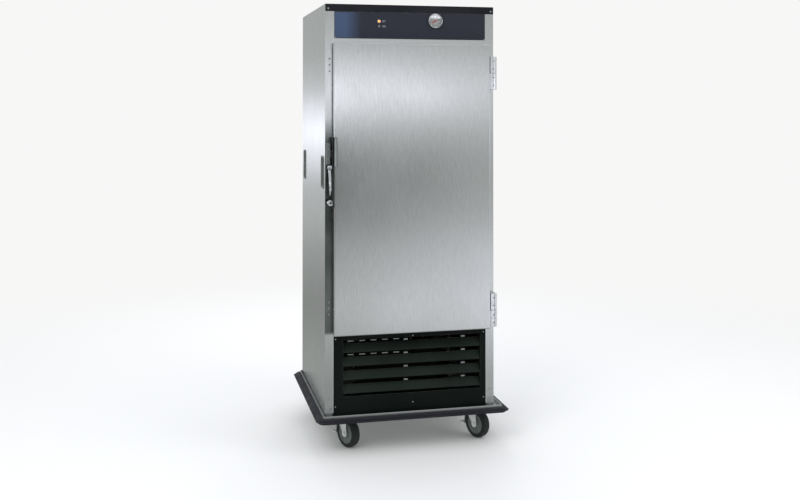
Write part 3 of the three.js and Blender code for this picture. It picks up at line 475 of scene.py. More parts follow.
# CAD nodes by how their names start; those that a piece replaces further on keep this material too
PAINTED = (
    (STEEL, ("side_panel", "back_panel")),
    (STEEL_POST, ("front_frame",)),
    (STEEL_FLAT, ("top_panel", "base_tray")),
    (STEEL_INNER, ("chamber_liner", "pan_rack", "air_duct", "water_pan", "door_liner")),
    (STEEL_DOOR, ("door_skin",)),
    (SEAL, ("door_gasket",)),
    (FASCIA, ("control_fascia",)),
    (PLASTIC, ("power_gland",)),
    (BLACK_SHEET, ("grille_frame", "fan_shroud")),
    (BLACK_SLAT, ("louvre_blade",)),
    (BLACK_TRIM, ("top_trim",)),
    (BLACK_ENAMEL, ("compressor", "latch_case")),
    (DARK_FIN, ("condenser_coil",)),
    (ALUMINIUM, ("circulation_fan", "condenser_fan")),
    (GREY_CASTING, ("power_switch", "heater_element", "latch_strike", "hand_grip")),
    (CHROME, ("dial_case", "latch_lever", "lock_plug", "hinge_")),
    (RED_ENAMEL, ("dial_needle",)),
    (AMBER, ("indicator_lamp",)),
    (VINYL, ("bumper",)),
    (ZINC, ("caster_plate", "caster_fork", "brake_pedal")),
    (TREAD, ("caster_wheel",)),
)

for material, starts in PAINTED:
    for node_name in [name for name in NODES if name.startswith(starts)]:
        painted_slots = NODES[node_name].data.materials
        painted_slots.clear()
        painted_slots.append(material)


# ---------------------------------------------------------------- mesh building

SMOOTH_BELOW = math.radians(38)
ON_AXIS = 1e-4
SAME_PLACE = 1e-3

# turns a shape that faces +Z to face another way
FACING = {
    "Z": Matrix.Identity(4),
    "-Z": Matrix.Rotation(math.radians(180), 4, "X"),
    "Y": Matrix.Rotation(math.radians(-90), 4, "X"),
    "-Y": Matrix.Rotation(math.radians(90), 4, "X"),
    "X": Matrix.Rotation(math.radians(90), 4, "Y"),
    "-X": Matrix.Rotation(math.radians(-90), 4, "Y"),
}


def merged(*parts):
    whole = bmesh.new()
    for part in parts:
        mesh = bpy.data.meshes.new("part")
        part.to_mesh(mesh)
        part.free()
        whole.from_mesh(mesh)
        bpy.data.meshes.remove(mesh)
    return whole


def piece(name, shape, material, body, replaces=()):
    """Turns a bmesh in millimetres into an object that rides on a body."""
    bmesh.ops.scale(shape, vec=(MM, MM, MM), verts=shape.verts)
    bmesh.ops.recalc_face_normals(shape, faces=shape.faces)
    for face in shape.faces:
        face.smooth = True
    for edge in shape.edges:
        edge.smooth = edge.is_manifold and edge.calc_face_angle(0) < SMOOTH_BELOW
    mesh = bpy.data.meshes.new(name)
    shape.to_mesh(mesh)
    shape.free()
    mesh.materials.append(material)
    made = linked(name, mesh)
    made.modifiers.new("flat_faces_stay_flat", "WEIGHTED_NORMAL").keep_sharp = True
    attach(made, body)
    if replaces:
        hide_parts(*replaces)


def moved(shape, matrix):
    bmesh.ops.transform(shape, matrix=matrix, verts=shape.verts)
    return shape


def weld(shape):
    bmesh.ops.remove_doubles(shape, verts=shape.verts, dist=SAME_PLACE)
    return shape


def bevelled(shape, radius, steps):
    if radius > 0:
        edges = shape.edges[:]
        bmesh.ops.bevel(shape, geom=edges, offset=radius, segments=steps, profile=0.5, affect="EDGES")
    return shape


def rounded_box(lowest, highest, radius, steps=3):
    shape = bmesh.new()
    bmesh.ops.create_cube(shape, size=1)
    lowest, highest = Vector(lowest), Vector(highest)
    bmesh.ops.scale(shape, vec=highest - lowest, verts=shape.verts)
    bmesh.ops.translate(shape, vec=(lowest + highest) / 2, verts=shape.verts)
    return bevelled(shape, radius, steps)


def box_about(centre, size, radius, steps=2):
    centre, half = Vector(centre), Vector(size) / 2
    return rounded_box(centre - half, centre + half, radius, steps)


def circle(radius, steps, centre=(0, 0)):
    turns = (2 * math.pi * step / steps for step in range(steps))
    return [(centre[0] + radius * math.cos(turn), centre[1] + radius * math.sin(turn)) for turn in turns]


def turned(profile, steps, place=(0, 0, 0), axis="Z"):
    """Revolves [radius, height] pairs; a profile that starts and ends on the axis closes itself."""
    shape = bmesh.new()
    rings = []
    for radius, height in profile:
        outline = [(0, 0)] if radius < ON_AXIS else circle(radius, steps)
        rings.append([shape.verts.new((x, y, height)) for x, y in outline])
    for ring, after in zip(rings, rings[1:]):
        for step in range(steps):
            following = (step + 1) % steps
            corners = [ring[step % len(ring)], ring[following % len(ring)]]
            corners += [after[following % len(after)], after[step % len(after)]]
            unique = list(dict.fromkeys(corners))
            if len(unique) > 2:
                shape.faces.new(unique)
    return moved(shape, Matrix.Translation(place) @ FACING[axis])


def ring_turned(profile, steps, place=(0, 0, 0), axis="Z"):
    """Revolves a section that closes on itself, such as a tyre's."""
    return weld(turned([*profile, profile[0]], steps, place, axis))


def loft(rings, capped=True):
    """Skins equal-length rings of points, one after the other."""
    shape = bmesh.new()
    made = [[shape.verts.new(point) for point in ring] for ring in rings]
    for ring, after in zip(made, made[1:]):
        for step in range(len(ring)):
            following = (step + 1) % len(ring)
            shape.faces.new([ring[step], ring[following], after[following], after[step]])
    if capped:
        shape.faces.new(made[0][::-1])
        shape.faces.new(made[-1])
    return shape


def ring_loft(rings):
    """Like loft, but the last ring joins the first, as round a frame."""
    return weld(loft([*rings, rings[0]], capped=False))


def prism(points, span, axis="X", bevel=0.0, steps=2):
    """An outline carried along X or Y. The outline is in the other two axes, in X, Y, Z order."""

    def corner(along, first, second):
        return (along, first, second) if axis == "X" else (first, along, second)

    shape = loft([[corner(along, a, b) for a, b in points] for along in span])
    bmesh.ops.recalc_face_normals(shape, faces=shape.faces)
    return bevelled(shape, bevel, steps)


def arc(centre, radius, start, end, steps):
    turns = (math.radians(start + (end - start) * step / steps) for step in range(steps + 1))
    return [(centre[0] + radius * math.cos(turn), centre[1] + radius * math.sin(turn)) for turn in turns]


def corner_arcs(lowest, highest, inset):
    """The centre of each round corner of a rectangle, and the angle where its quarter turn starts."""
    (a0, b0), (a1, b1) = lowest, highest
    return [
        ((a1 - inset, b0 + inset), -90),
        ((a1 - inset, b1 - inset), 0),
        ((a0 + inset, b1 - inset), 90),
        ((a0 + inset, b0 + inset), 180),
    ]


def rounded_outline(lowest, highest, radius, steps=5):
    corners = corner_arcs(lowest, highest, radius)
    return [point for centre, start in corners for point in arc(centre, radius, start, start + 90, steps)]


def frame_sweep(section, lowest, highest, corner, steps, upright=False):
    """Carries a closed [outward, height] section round a rectangle with round corners."""
    rings = []
    for (a, b), start in corner_arcs(lowest, highest, corner):
        for step in range(steps + 1):
            turn = math.radians(start + 90 * step / steps)
            reaches = [(corner + outward, height) for outward, height in section]
            points = [(a + reach * math.cos(turn), b + reach * math.sin(turn), z) for reach, z in reaches]
            rings.append([(x, z, y) if upright else (x, y, z) for x, y, z in points])
    return ring_loft(rings)


def smooth_line(points, steps):
    """Catmull-Rom through the points."""
    padded = [2 * points[0] - points[1], *points, 2 * points[-1] - points[-2]]
    line = []
    for p0, p1, p2, p3 in zip(padded, padded[1:], padded[2:], padded[3:]):
        for step in range(steps):
            t = step / steps
            line.append(0.5 * (2 * p1 + (p2 - p0) * t + (2 * p0 - 5 * p1 + 4 * p2 - p3) * t * t
                               + (3 * p1 - p0 - 3 * p2 + p3) * t ** 3))
    return [*line, points[-1]]


def pipe(points, radius, sides=12, smooth_steps=6):
    """A round tube along a smooth line through the points, with flat ends."""
    line = smooth_line([Vector(point) for point in points], smooth_steps)
    rings = []
    normal = (line[1] - line[0]).normalized().orthogonal()
    for index, place in enumerate(line):
        ahead = (line[min(index + 1, len(line) - 1)] - line[max(index - 1, 0)]).normalized()
        normal = (normal - ahead * normal.dot(ahead)).normalized()
        side = ahead.cross(normal)
        rings.append([place + a * normal + b * side for a, b in circle(radius, sides)])
    return loft(rings)


SCREW_ROOT = 0.6
SLOT_PROUD, SLOT_THICK = 0.05, 0.4


def pan_head(place, radius, axis, recess=True):
    """A screw head with a cross recess, or a plain button."""
    height = radius * 0.45
    profile = [(0, -SCREW_ROOT), (radius, -SCREW_ROOT), (radius, height * 0.35)]
    profile += [(radius * 0.75, height * 0.85), (radius * 0.35, height), (0, height)]
    parts = [turned(profile, 16)]
    if recess:
        arm, slim, crest = radius * 0.55, radius * 0.10, height + SLOT_PROUD
        for x, y in ((arm, slim), (slim, arm)):
            parts.append(rounded_box((-x, -y, crest - SLOT_THICK), (x, y, crest), 0))
    return moved(merged(*parts), Matrix.Translation(place) @ FACING[axis])


def screws(places, radius, axis, sunk=0.0):
    """One mesh of screw heads, all facing the same way."""
    offset = FACING[axis] @ Vector((0, 0, -sunk))
    return merged(*[pan_head(Vector(place) + offset, radius, axis) for place in places])


def edge_screws(node, inset, rise, radius, sunk):
    """A screw near each end of a front plate."""
    lowest, highest = ends(node)
    places = [(x, lowest.y, lowest.z + rise) for x in (lowest.x + inset, highest.x - inset)]
    return screws(places, radius, "-Y", sunk)


def spread(start, end, count):
    """Evenly spaced values, both ends included."""
    return [start + (end - start) * step / (count - 1) for step in range(count)]


# ---------------------------------------------------------------- door

DOOR_ROUND = 5
SKIN_THICK = 1.2
PAN_CUT_OFF = 30


def door_shell():
    """The outer pan: rounded front edges, open at the back where the inner pan nests."""
    lowest, highest = ends("door_skin")
    shape = rounded_box(lowest, highest + Vector((0, PAN_CUT_OFF, 0)), DOOR_ROUND, 5)
    geometry = [*shape.verts, *shape.edges, *shape.faces]
    bmesh.ops.bisect_plane(shape, geom=geometry, plane_co=highest, plane_no=(0, 1, 0), clear_outer=True)
    bmesh.ops.recalc_face_normals(shape, faces=shape.faces)
    inner = shape.copy()
    for vert in inner.verts:
        vert.co -= vert.normal * SKIN_THICK
        vert.co.y = min(vert.co.y, highest.y)
    # known fault: joined in metres, the rim comes out twisted, and it is kept as it was. Joined in
    # millimetres, without the two scalings, it comes out right
    whole = moved(merged(shape, inner), Matrix.Scale(MM, 4))
    bmesh.ops.bridge_loops(whole, edges=[edge for edge in whole.edges if edge.is_boundary])
    return moved(whole, Matrix.Scale(1 / MM, 4))


def door_plugs():
    """Plugged screw holes down the door's latch edge, left for hanging it the other way round."""
    left = low("door_skin").x
    depth = middle("door_skin").y + 6
    heights = [high("hinge_upper_door").z + offset for offset in (45, -5, -55)]
    heights += [low("hinge_lower_door").z + offset for offset in (110, 60, 10)]
    return screws([(left, depth, z) for z in heights], 4, "-X", 1.2)


def gasket():
    """A hollow-looking magnetic seal: two rounded ridges with a groove between them."""
    lowest, highest = ends("door_gasket")
    near, far = lowest.y, highest.y
    centre = (near + far) / 2
    section = [(0, near), (0, centre), (-1.2, far - 1), (-3, far), (-4.6, far - 1), (-5.4, centre + 1),
               (-6.4, centre + 1), (-7.4, far - 1), (-9, far), (-10.8, far - 1), (-12, centre), (-12, near)]
    return frame_sweep(section, (lowest.x, lowest.z), (highest.x, highest.z), 14, 4, upright=True)


def liner_panel():
    """The door's inner face: a raised panel pressed out of the pan, inside the seal."""
    lowest, highest = ends("door_gasket")
    back = high("door_liner").y
    border, slope, rise, sunk = 40, 4, 3, 0.2
    rings = []
    for inset, depth, corner in ((border, back - sunk, 20), (border + slope, back + rise, 16)):
        a, b = (lowest.x + inset, lowest.z + inset), (highest.x - inset, highest.z - inset)
        rings.append([(x, depth, z) for x, z in rounded_outline(a, b, corner)])
    return loft(rings)


piece("door_shell", door_shell(), STEEL_DOOR, "door", ["door_skin"])
piece("door_plugs", door_plugs(), STEEL_EDGE, "door")
piece("door_seal", gasket(), SEAL, "door", ["door_gasket"])
piece("door_inner_panel", liner_panel(), STEEL_INNER, "door")


# ---------------------------------------------------------------- hinges

HINGE_ROUND = 1.2
HINGE_PIN = pivot("door_swing")
HINGE_FRONT = HINGE_PIN.y - 7
HINGE_BACK = HINGE_PIN.y + 5


def hinge_knuckle(where, bottom, top):
    radius = high(f"hinge_{where}_frame").x - HINGE_PIN.x
    ease = 1.6
    profile = [(0, bottom), (radius - ease, bottom), (radius, bottom + ease), (radius, top - ease),
               (radius - ease, top), (0, top)]
    return turned(profile, 32, (HINGE_PIN.x, HINGE_PIN.y, 0))


def hinge_screws(node):
    top = high(node).z
    places = [(HINGE_PIN.x - 8, HINGE_FRONT, top - drop) for drop in (54, 20)]
    return screws(places, 3.4, "-Y", -0.3)


def hinge_frame_half(where):
    """Upper knuckle and its block on a thin leaf that lies on the post."""
    lowest, highest = ends(f"hinge_{where}_frame")
    bottom = high(f"hinge_{where}_door").z + 0.5
    knuckle = hinge_knuckle(where, bottom, highest.z)
    block = rounded_box((lowest.x, HINGE_FRONT, bottom), (HINGE_PIN.x, highest.y, highest.z), HINGE_ROUND, 2)
    leaf = rounded_box((lowest.x, highest.y - 3, lowest.z), highest, HINGE_ROUND, 2)
    return merged(knuckle, block, leaf)


def hinge_door_half(where):
    """Lower knuckle and block, joined behind a slot to the leaf on the door's edge."""
    lowest, highest = ends(f"hinge_{where}_door")
    knuckle = hinge_knuckle(where, lowest.z, highest.z)
    block_low = (lowest.x + 9, HINGE_FRONT, lowest.z)
    block = rounded_box(block_low, (HINGE_PIN.x, HINGE_BACK, highest.z), HINGE_ROUND, 2)
    web_low = (lowest.x + 2, HINGE_BACK - 3, lowest.z + 1)
    web = rounded_box(web_low, (HINGE_PIN.x, HINGE_BACK - 0.4, highest.z - 1), 0.5, 2)
    leaf = rounded_box(lowest, (lowest.x + 3.7, highest.y, highest.z), HINGE_ROUND, 2)
    return merged(knuckle, block, web, leaf)


for where in ("upper", "lower"):
    frame_node, door_node = f"hinge_{where}_frame", f"hinge_{where}_door"
    piece(f"hinge_{where}_top_leaf", hinge_frame_half(where), CHROME, "cabinet", [frame_node])
    piece(f"hinge_{where}_top_screws", hinge_screws(frame_node), ZINC, "cabinet")
    piece(f"hinge_{where}_low_leaf", hinge_door_half(where), CHROME, "door", [door_node])
    piece(f"hinge_{where}_low_screws", hinge_screws(door_node), ZINC, "door")


# ---------------------------------------------------------------- latch

LATCH_INNER = low("door_skin").x - 0.3
LATCH_OUTER = LATCH_INNER - 6
LATCH_SHOULDER = high("latch_lever").z + 13
LOCK_AXIS = pivot("lock_turn")
LOCK_EAR_FRONT = high("lock_plug").y - 14.4
LOCK_EAR_BACK = high("lock_plug").y + 6


def latch_body():
    """The black escutcheon: a plate on the door's edge wrapping onto its face, a tongue and a lock ear."""
    lowest, highest = ends("latch_case")
    face = low("door_skin").y
    plate = rounded_box((LATCH_OUTER, face + 2, lowest.z), (LATCH_INNER, highest.y, highest.z), 1.1)
    flange = rounded_box((LATCH_OUTER, lowest.y, LATCH_SHOULDER), (highest.x, face - 0.3, highest.z), 1)
    corner = rounded_box((LATCH_OUTER, lowest.y, LATCH_SHOULDER), (LATCH_INNER, face + 6, highest.z), 1.2)
    tongue = box_about((LATCH_OUTER - 3, highest.y - 13, middle("latch_strike").z), (7, 9.6, 30), 1.5)
    bridge_low = (LOCK_AXIS.x + 9, LOCK_EAR_FRONT + 2, LOCK_AXIS.z - 10)
    bridge = rounded_box(bridge_low, (LATCH_INNER - 1, LOCK_EAR_BACK - 2, LOCK_AXIS.z + 10), 1.5)
    return merged(plate, flange, corner, tongue, bridge)


def lock_collar():
    """The bright ring that the lock's plug turns in."""
    outer, bore, depth = 13, 8.5, LOCK_EAR_BACK - LOCK_EAR_FRONT
    profile = [(bore, 0.6), (bore + 0.8, 0), (outer - 1.2, 0), (outer, 1.2), (outer, depth), (bore, depth)]
    return ring_turned(profile, 36, (LOCK_AXIS.x, LOCK_EAR_FRONT, LOCK_AXIS.z), "Y")


def latch_face_plate():
    """A steel plate on the case's flange, short of its edges so that a dark border shows."""
    face, top = low("latch_case").y, high("latch_case").z
    near, far = low("door_skin").x + 0.8, high("latch_case").x - 2.6
    return rounded_box((near, face - 0.5, LATCH_SHOULDER + 2), (far, face + 0.5, top - 2), 0.4, 2)


def latch_boss():
    """The bright knuckle over the lever's eye."""
    eye = pivot("latch_pull")
    outer = low("latch_lever").x - 2
    return rounded_box((outer, eye.y - 11, eye.z + 7), (LATCH_OUTER, eye.y + 10, eye.z + 24), 3.5, 4)


def latch_flange_screws():
    face = low("latch_case").y
    across = high("latch_case").x - 6.5
    heights = (high("latch_case").z - 12, high("latch_lever").z + 26)
    return screws([(across, face, z) for z in heights], 2.8, "-Y", 0.2)


# down the lever: drop below the pivot, bow forward, half thickness and half width
LEVER_STATIONS = (
    (6, 0, 2.0, 6.4),
    (4, 0, 5.0, 6.8),
    (0, 0, 6.0, 7.0),
    (-6, -0.5, 5.4, 6.8),
    (-16, -4.0, 3.4, 6.2),
    (-30, -8.0, 2.8, 5.8),
    (-48, -9.8, 2.7, 5.6),
    (-64, -10.5, 2.7, 5.4),
    (-82, -10.3, 2.6, 5.0),
    (-96, -9.0, 2.4, 4.0),
    (-104, -7.8, 1.8, 2.6),
    (-107.5, -7.1, 0.6, 0.9),
)


def lever_blade():
    """A bar with softened corners, bowed forward along its length."""
    eye = pivot("latch_pull")
    centre = middle("latch_lever").x - 1
    rings = []
    for drop, bow, thick, wide in LEVER_STATIONS:
        ring = []
        for a, b in circle(1, 20):
            across = math.copysign(abs(a) ** 0.6, a) * wide
            deep = math.copysign(abs(b) ** 0.8, b) * thick
            ring.append((centre + across, eye.y + bow + deep, eye.z + drop))
        rings.append(ring)
    return loft(rings)


def lock_face():
    """The bright ring of the lock's plug."""
    front, back = low("lock_plug").y, high("lock_plug").y
    bore, radius = 4.6, 8
    profile = [(bore, 1.2), (5.2, 0.2), (7, 0), (radius, 1), (radius, back - front), (bore, back - front)]
    return ring_turned(profile, 32, (LOCK_AXIS.x, front, LOCK_AXIS.z), "Y")


def lock_core():
    """The plug's dark middle with its keyway."""
    place = (LOCK_AXIS.x, low("lock_plug").y + 1.6, LOCK_AXIS.z)
    core = turned([(0, 0), (4.5, 0), (4.5, 8), (0, 8)], 24, place, "Y")
    keyway = box_about(place, (1.4, 0.8, 5.6), 0.2)
    return merged(core, keyway)


def strike_block():
    lowest, highest = ends("latch_strike")
    near, far = lowest.y, highest.y
    outline = [(far, lowest.z), (near + 4, lowest.z), (near, lowest.z + 6), (near, highest.z - 10),
               (near + 8, highest.z), (far, highest.z)]
    return prism(outline, (lowest.x, highest.x), "X", 1.4, 3)


def strike_screws():
    lowest = low("latch_strike")
    across = middle("latch_strike").x
    return screws([(across, lowest.y, lowest.z + rise) for rise in (24, 66)], 3.2, "-Y", -0.1)


piece("latch_body", latch_body(), BLACK_ENAMEL, "door", ["latch_case"])
piece("latch_boss", latch_boss(), CHROME, "door")
piece("lock_collar", lock_collar(), CHROME, "door")
piece("latch_face_plate", latch_face_plate(), ZINC, "door")
piece("latch_flange_screws", latch_flange_screws(), ZINC, "door")
piece("latch_handle", lever_blade(), CHROME, "lever", ["latch_lever"])
piece("lock_ring", lock_face(), CHROME, "lock", ["lock_plug"])
piece("lock_core", lock_core(), BLACK_ENAMEL, "lock")
piece("strike_block", strike_block(), GREY_CASTING, "cabinet", ["latch_strike"])
piece("strike_screws", strike_screws(), ZINC, "cabinet")


# ---------------------------------------------------------------- control fascia and top trim

TICK_COUNT = 51
DIAL_SWEEP = 250.0
DIAL_NUMBERS = 6
DIAL = middle("dial_case")
DIAL_RADIUS = (high("dial_case").x - low("dial_case").x) / 2
FASCIA_FACE = low("control_fascia").y
DIAL_PRINT_DEPTH = FASCIA_FACE - 3.05


def on_fascia(profile, steps, centre, closed=False):
    """Revolves a profile that stands out from the fascia."""
    spin = ring_turned if closed else turned
    return spin(profile, steps, (centre.x, FASCIA_FACE, centre.z), "-Y")


def dial_bezel():
    radius = DIAL_RADIUS
    lip = radius - 4.4
    profile = [(lip, 0.3), (radius - 1.2, 0.3), (radius, 1.6), (radius, 7.4), (radius - 0.6, 9.2),
               (radius - 2, 10.4), (radius - 3.4, 10), (lip, 8.2)]
    return on_fascia(profile, 64, DIAL, closed=True)


def dial_card():
    radius = DIAL_RADIUS - 4.6
    return on_fascia([(0, 0.4), (radius, 0.4), (radius, 3), (0, 3)], 64, DIAL)


def dial_angle(share):
    """Clockwise from the pointer's rest, which is down at the left."""
    return math.radians(216 - DIAL_SWEEP * share)


def dial_marks():
    outer = 27.5
    marks = []
    for tick in range(TICK_COUNT):
        length, width = (4.4, 0.8) if tick % 10 == 0 else (2.4, 0.4)
        bar = box_about((outer - length / 2, 0, 0), (length, 0.1, width), 0)
        turn = Matrix.Rotation(-dial_angle(tick / (TICK_COUNT - 1)), 4, "Y")
        marks.append(moved(bar, Matrix.Translation((DIAL.x, DIAL_PRINT_DEPTH, DIAL.z)) @ turn))
    return merged(*marks)


def numeral(text, size, place):
    """A number in Blender's own plain font, laid flat on the dial's card."""
    curve = bpy.data.curves.new("numeral", "FONT")
    curve.body = text
    curve.size = size
    curve.align_x = "CENTER"
    curve.align_y = "CENTER"
    curve.extrude = 0.05
    holder = linked("numeral", curve)
    bpy.context.view_layer.update()
    mesh = bpy.data.meshes.new_from_object(holder)
    shape = bmesh.new()
    shape.from_mesh(mesh)
    bpy.data.objects.remove(holder)
    bpy.data.curves.remove(curve)
    bpy.data.meshes.remove(mesh)
    return moved(shape, Matrix.Translation(place) @ FACING["-Y"])


def dial_numbers():
    reach, size = 18.5, 6.5
    shapes = []
    for step in range(DIAL_NUMBERS):
        turn = dial_angle(step / (DIAL_NUMBERS - 1))
        place = (DIAL.x + reach * math.cos(turn), DIAL_PRINT_DEPTH, DIAL.z + reach * math.sin(turn))
        shapes.append(numeral(str(step * 20), size, place))
    return merged(*shapes)


def dial_window():
    """A slightly domed pane."""
    radius = DIAL_RADIUS - 4.5
    inner = [(0, 8.6), (radius * 0.6, 8.3), (radius, 7.4)]
    outer = [(radius, 8.2), (radius * 0.6, 9.4), (0, 9.7)]
    return on_fascia([*inner, *outer], 48, DIAL)


def lamp_bezel():
    bore, outer = 5.2, 7.4
    profile = [(bore, 0), (outer, 0), (outer, 1), (6.6, 1.8), (bore, 1.8)]
    return on_fascia(profile, 32, middle("indicator_lamp"), closed=True)


def lamp_lens():
    """A faceted dome."""
    lowest, highest = ends("indicator_lamp")
    radius, base, dome = (highest.x - lowest.x) / 2, 1.6, 4.2
    profile = [(0, 0.1), (radius, 0.1)]
    for rise in range(0, 90, 15):
        turn = math.radians(rise)
        profile.append((radius * math.cos(turn), base + dome * math.sin(turn)))
    return on_fascia([*profile, (0, base + dome)], 28, middle("indicator_lamp"))


def switch_cap():
    lowest, highest = ends("power_switch")
    centre = middle("power_switch")
    half = (highest.x - lowest.x) / 2
    diamond = [(half, 0), (0, half), (-half, 0), (0, -half)]
    levels = ((1.0, highest.y), (1.0, lowest.y + 1.2), (0.86, lowest.y), (0.5, lowest.y + 0.6))
    rings = []
    for share, depth in levels:
        rings.append([(centre.x + a * share, depth, centre.z + b * share) for a, b in diamond])
    return loft(rings)


def fascia_marks():
    """Plain bars beside the lamp and the switch, where a real panel has its symbols."""
    depth = FASCIA_FACE - 0.06
    bars = []
    for node, lengths in (("indicator_lamp", (15, 9)), ("power_switch", (12, 17))):
        centre = middle(node)
        for row, length in enumerate(lengths):
            start = centre.x + 15
            place = (start + length / 2, depth, centre.z + (2.4 - 4.8 * row))
            bars.append(box_about(place, (length, 0.1, 1.3), 0))
    return merged(*bars)


FASCIA_CORNER = 13


def fascia_corners():
    """Steel at the two lower corners, where the overlay is cut round."""
    lowest, highest = ends("control_fascia")
    near = lowest.y - 0.5
    corners = []
    for edge, side in ((lowest.x, 1), (highest.x, -1)):
        turn_place = (edge + side * FASCIA_CORNER, lowest.z + FASCIA_CORNER)
        start, end = (270, 180) if side > 0 else (270, 360)
        outline = [(edge, lowest.z), *arc(turn_place, FASCIA_CORNER, start, end, 10)]
        corners.append(prism(outline, (near, lowest.y + 0.2), "Y"))
    return merged(*corners)


def fascia_edging():
    """The thin raised edge that holds the overlay in its recess."""
    lowest, highest = ends("control_fascia")
    depth = lowest.y
    section = [(0, depth), (0, depth - 0.8), (-1.6, depth - 0.8), (-2.2, depth)]
    return frame_sweep(section, (lowest.x, lowest.z), (highest.x, highest.z), 2.5, 3, upright=True)


def trim_bar():
    return rounded_box(*ends("top_trim"), 0.8)


piece("dial_bezel", dial_bezel(), CHROME, "cabinet", ["dial_case"])
piece("dial_card", dial_card(), DIAL_CARD, "cabinet")
piece("dial_marks", dial_marks(), PRINT_DARK, "cabinet")
piece("dial_numbers", dial_numbers(), PRINT_DARK, "cabinet")
piece("dial_window", dial_window(), GLASS, "cabinet")
piece("lamp_bezel", lamp_bezel(), CHROME, "cabinet")
piece("lamp_lens", lamp_lens(), AMBER, "cabinet", ["indicator_lamp"])
piece("switch_cap", switch_cap(), GREY_CASTING, "switch", ["power_switch"])
piece("fascia_marks", fascia_marks(), PRINT, "cabinet")
piece("fascia_edging", fascia_edging(), BLACK_TRIM, "cabinet")
piece("fascia_corners", fascia_corners(), STEEL_EDGE, "cabinet")
piece("trim_bar", trim_bar(), BLACK_TRIM, "cabinet", ["top_trim"])
piece("trim_screws", edge_screws("top_trim", inset=13, rise=12, radius=4, sunk=0.5), ZINC, "cabinet")


# ---------------------------------------------------------------- body: posts, grips, back and top

def post_trims():
    """Folded edges that show as bright lines beside the grille."""
    window_low, window_high = ends("grille_frame")
    face = low("front_frame").y
    strips = []
    for edge, side in ((window_low.x, -1), (window_high.x, 1)):
        near, far = sorted((edge + side * 0.5, edge + side * 3.2))
        strip_low = (near, face - 0.6, window_low.z)
        strips.append(rounded_box(strip_low, (far, face + 1, window_high.z), 0.5))
    return merged(*strips)


def post_shoes():
    """Short angle brackets where the posts stand on the base."""
    lowest, highest = ends("front_frame")
    window_low, window_high = ends("grille_frame")
    bottom, tall, outer_gap, inner_gap = lowest.z + 8, 42, 4, 6
    left = (lowest.x + outer_gap, window_low.x - inner_gap)
    right = (window_high.x + inner_gap, highest.x - outer_gap)
    shoes = []
    for near, far in (left, right):
        shoes.append(rounded_box((near, lowest.y - 1.4, bottom), (far, lowest.y + 0.4, bottom + tall), 0.7))
    return merged(*shoes)


def spare_hinge_screws():
    """Plugged screw holes on the left post, for hanging the door the other way round."""
    lowest = low("front_frame")
    across = lowest.x + 19
    heights = []
    for where in ("upper", "lower"):
        centre = (low(f"hinge_{where}_door").z + high(f"hinge_{where}_frame").z) / 2
        heights += [centre + offset for offset in (60, 33, 6)]
    return screws([(across, lowest.y, z) for z in heights], 4.2, "-Y", 0.6)


def grip_pocket(node, side):
    """A cast pocket: a rounded rim on the skin and a smooth cup behind it."""
    lowest, highest = ends(node)
    skin = lowest.x if side < 0 else highest.x
    depth = highest.x - lowest.x
    rim, skin_depth = 8, 1.8

    def ring(level, shrink, corner):
        a, b = (lowest.y + shrink, lowest.z + shrink), (highest.y - shrink, highest.z - shrink)
        return [(skin - side * level, y, z) for y, z in rounded_outline(a, b, corner, 6)]

    levels = (
        (depth, rim + 6, 6),
        (depth - 2, rim - 1, 9),
        (skin_depth + 1, rim - 1.2, 10.5),
        (skin_depth, rim - 1.2, 10.5),
        (skin_depth, 0, 18),
        (0.5, 0.3, 17.7),
        (0, 1.4, 16.6),
        (0, rim - 2.5, 12.5),
        (0.8, rim - 0.8, 11),
        (3, rim, 10.5),
        (depth - 7, rim + 1.5, 10),
        (depth - 3, rim + 3.5, 8),
        (depth - 1.6, rim + 7, 6),
    )
    return loft([ring(*level) for level in levels])


def grip_screws(node, side):
    lowest, highest = ends(node)
    centre = middle(node)
    skin = lowest.x if side < 0 else highest.x
    places = [(skin, centre.y, z) for z in (lowest.z + 4.2, highest.z - 4.2)]
    return screws(places, 2.6, "-X" if side < 0 else "X", 0.6)


VENT_COUNT = 7
VENT_PITCH = 26
VENT_FIRST = 250
VENT_HALF = 130
VENT_CENTRE = middle("back_panel").x + 60
BACK_FACE = high("back_panel").y
OPENING_LOW, OPENING_HIGH = 236, 426
OPENING_HALF = VENT_HALF + 8
COVER_LOW, COVER_HIGH = 205, 465
COVER_HALF = 175
COVER_THICK = 1.5


def vent_hoods():
    """Pressed hoods over the rear air slots, open along their lower edge."""
    rise, reach = 5.5, VENT_HALF + 3
    root, crest = BACK_FACE - 0.5, BACK_FACE + rise
    hoods = []
    for index in range(VENT_COUNT):
        z = VENT_FIRST + index * VENT_PITCH
        outside = [(root, z + 9), (BACK_FACE + 1, z + 9), (crest, z + 2), (crest, z - 4)]
        inside = [(crest - 1, z - 4), (crest - 1.2, z + 1.4), (BACK_FACE + 0.2, z + 7.6), (root, z + 7.6)]
        hoods.append(prism([*outside, *inside], (VENT_CENTRE - reach, VENT_CENTRE + reach)))
        for side in (-1, 1):
            edge = sorted((VENT_CENTRE + side * reach, VENT_CENTRE + side * (reach - 1)))
            hoods.append(prism([*outside, (root, z - 4)], edge))
    return merged(*hoods)


def vent_screen():
    """Fine dark screen inside the vents, which keeps flour out of the machine bay."""
    centre = (VENT_CENTRE, low("back_panel").y - 1, (OPENING_LOW + OPENING_HIGH) / 2)
    return box_about(centre, (2 * OPENING_HALF, 0.8, OPENING_HIGH - OPENING_LOW), 0)


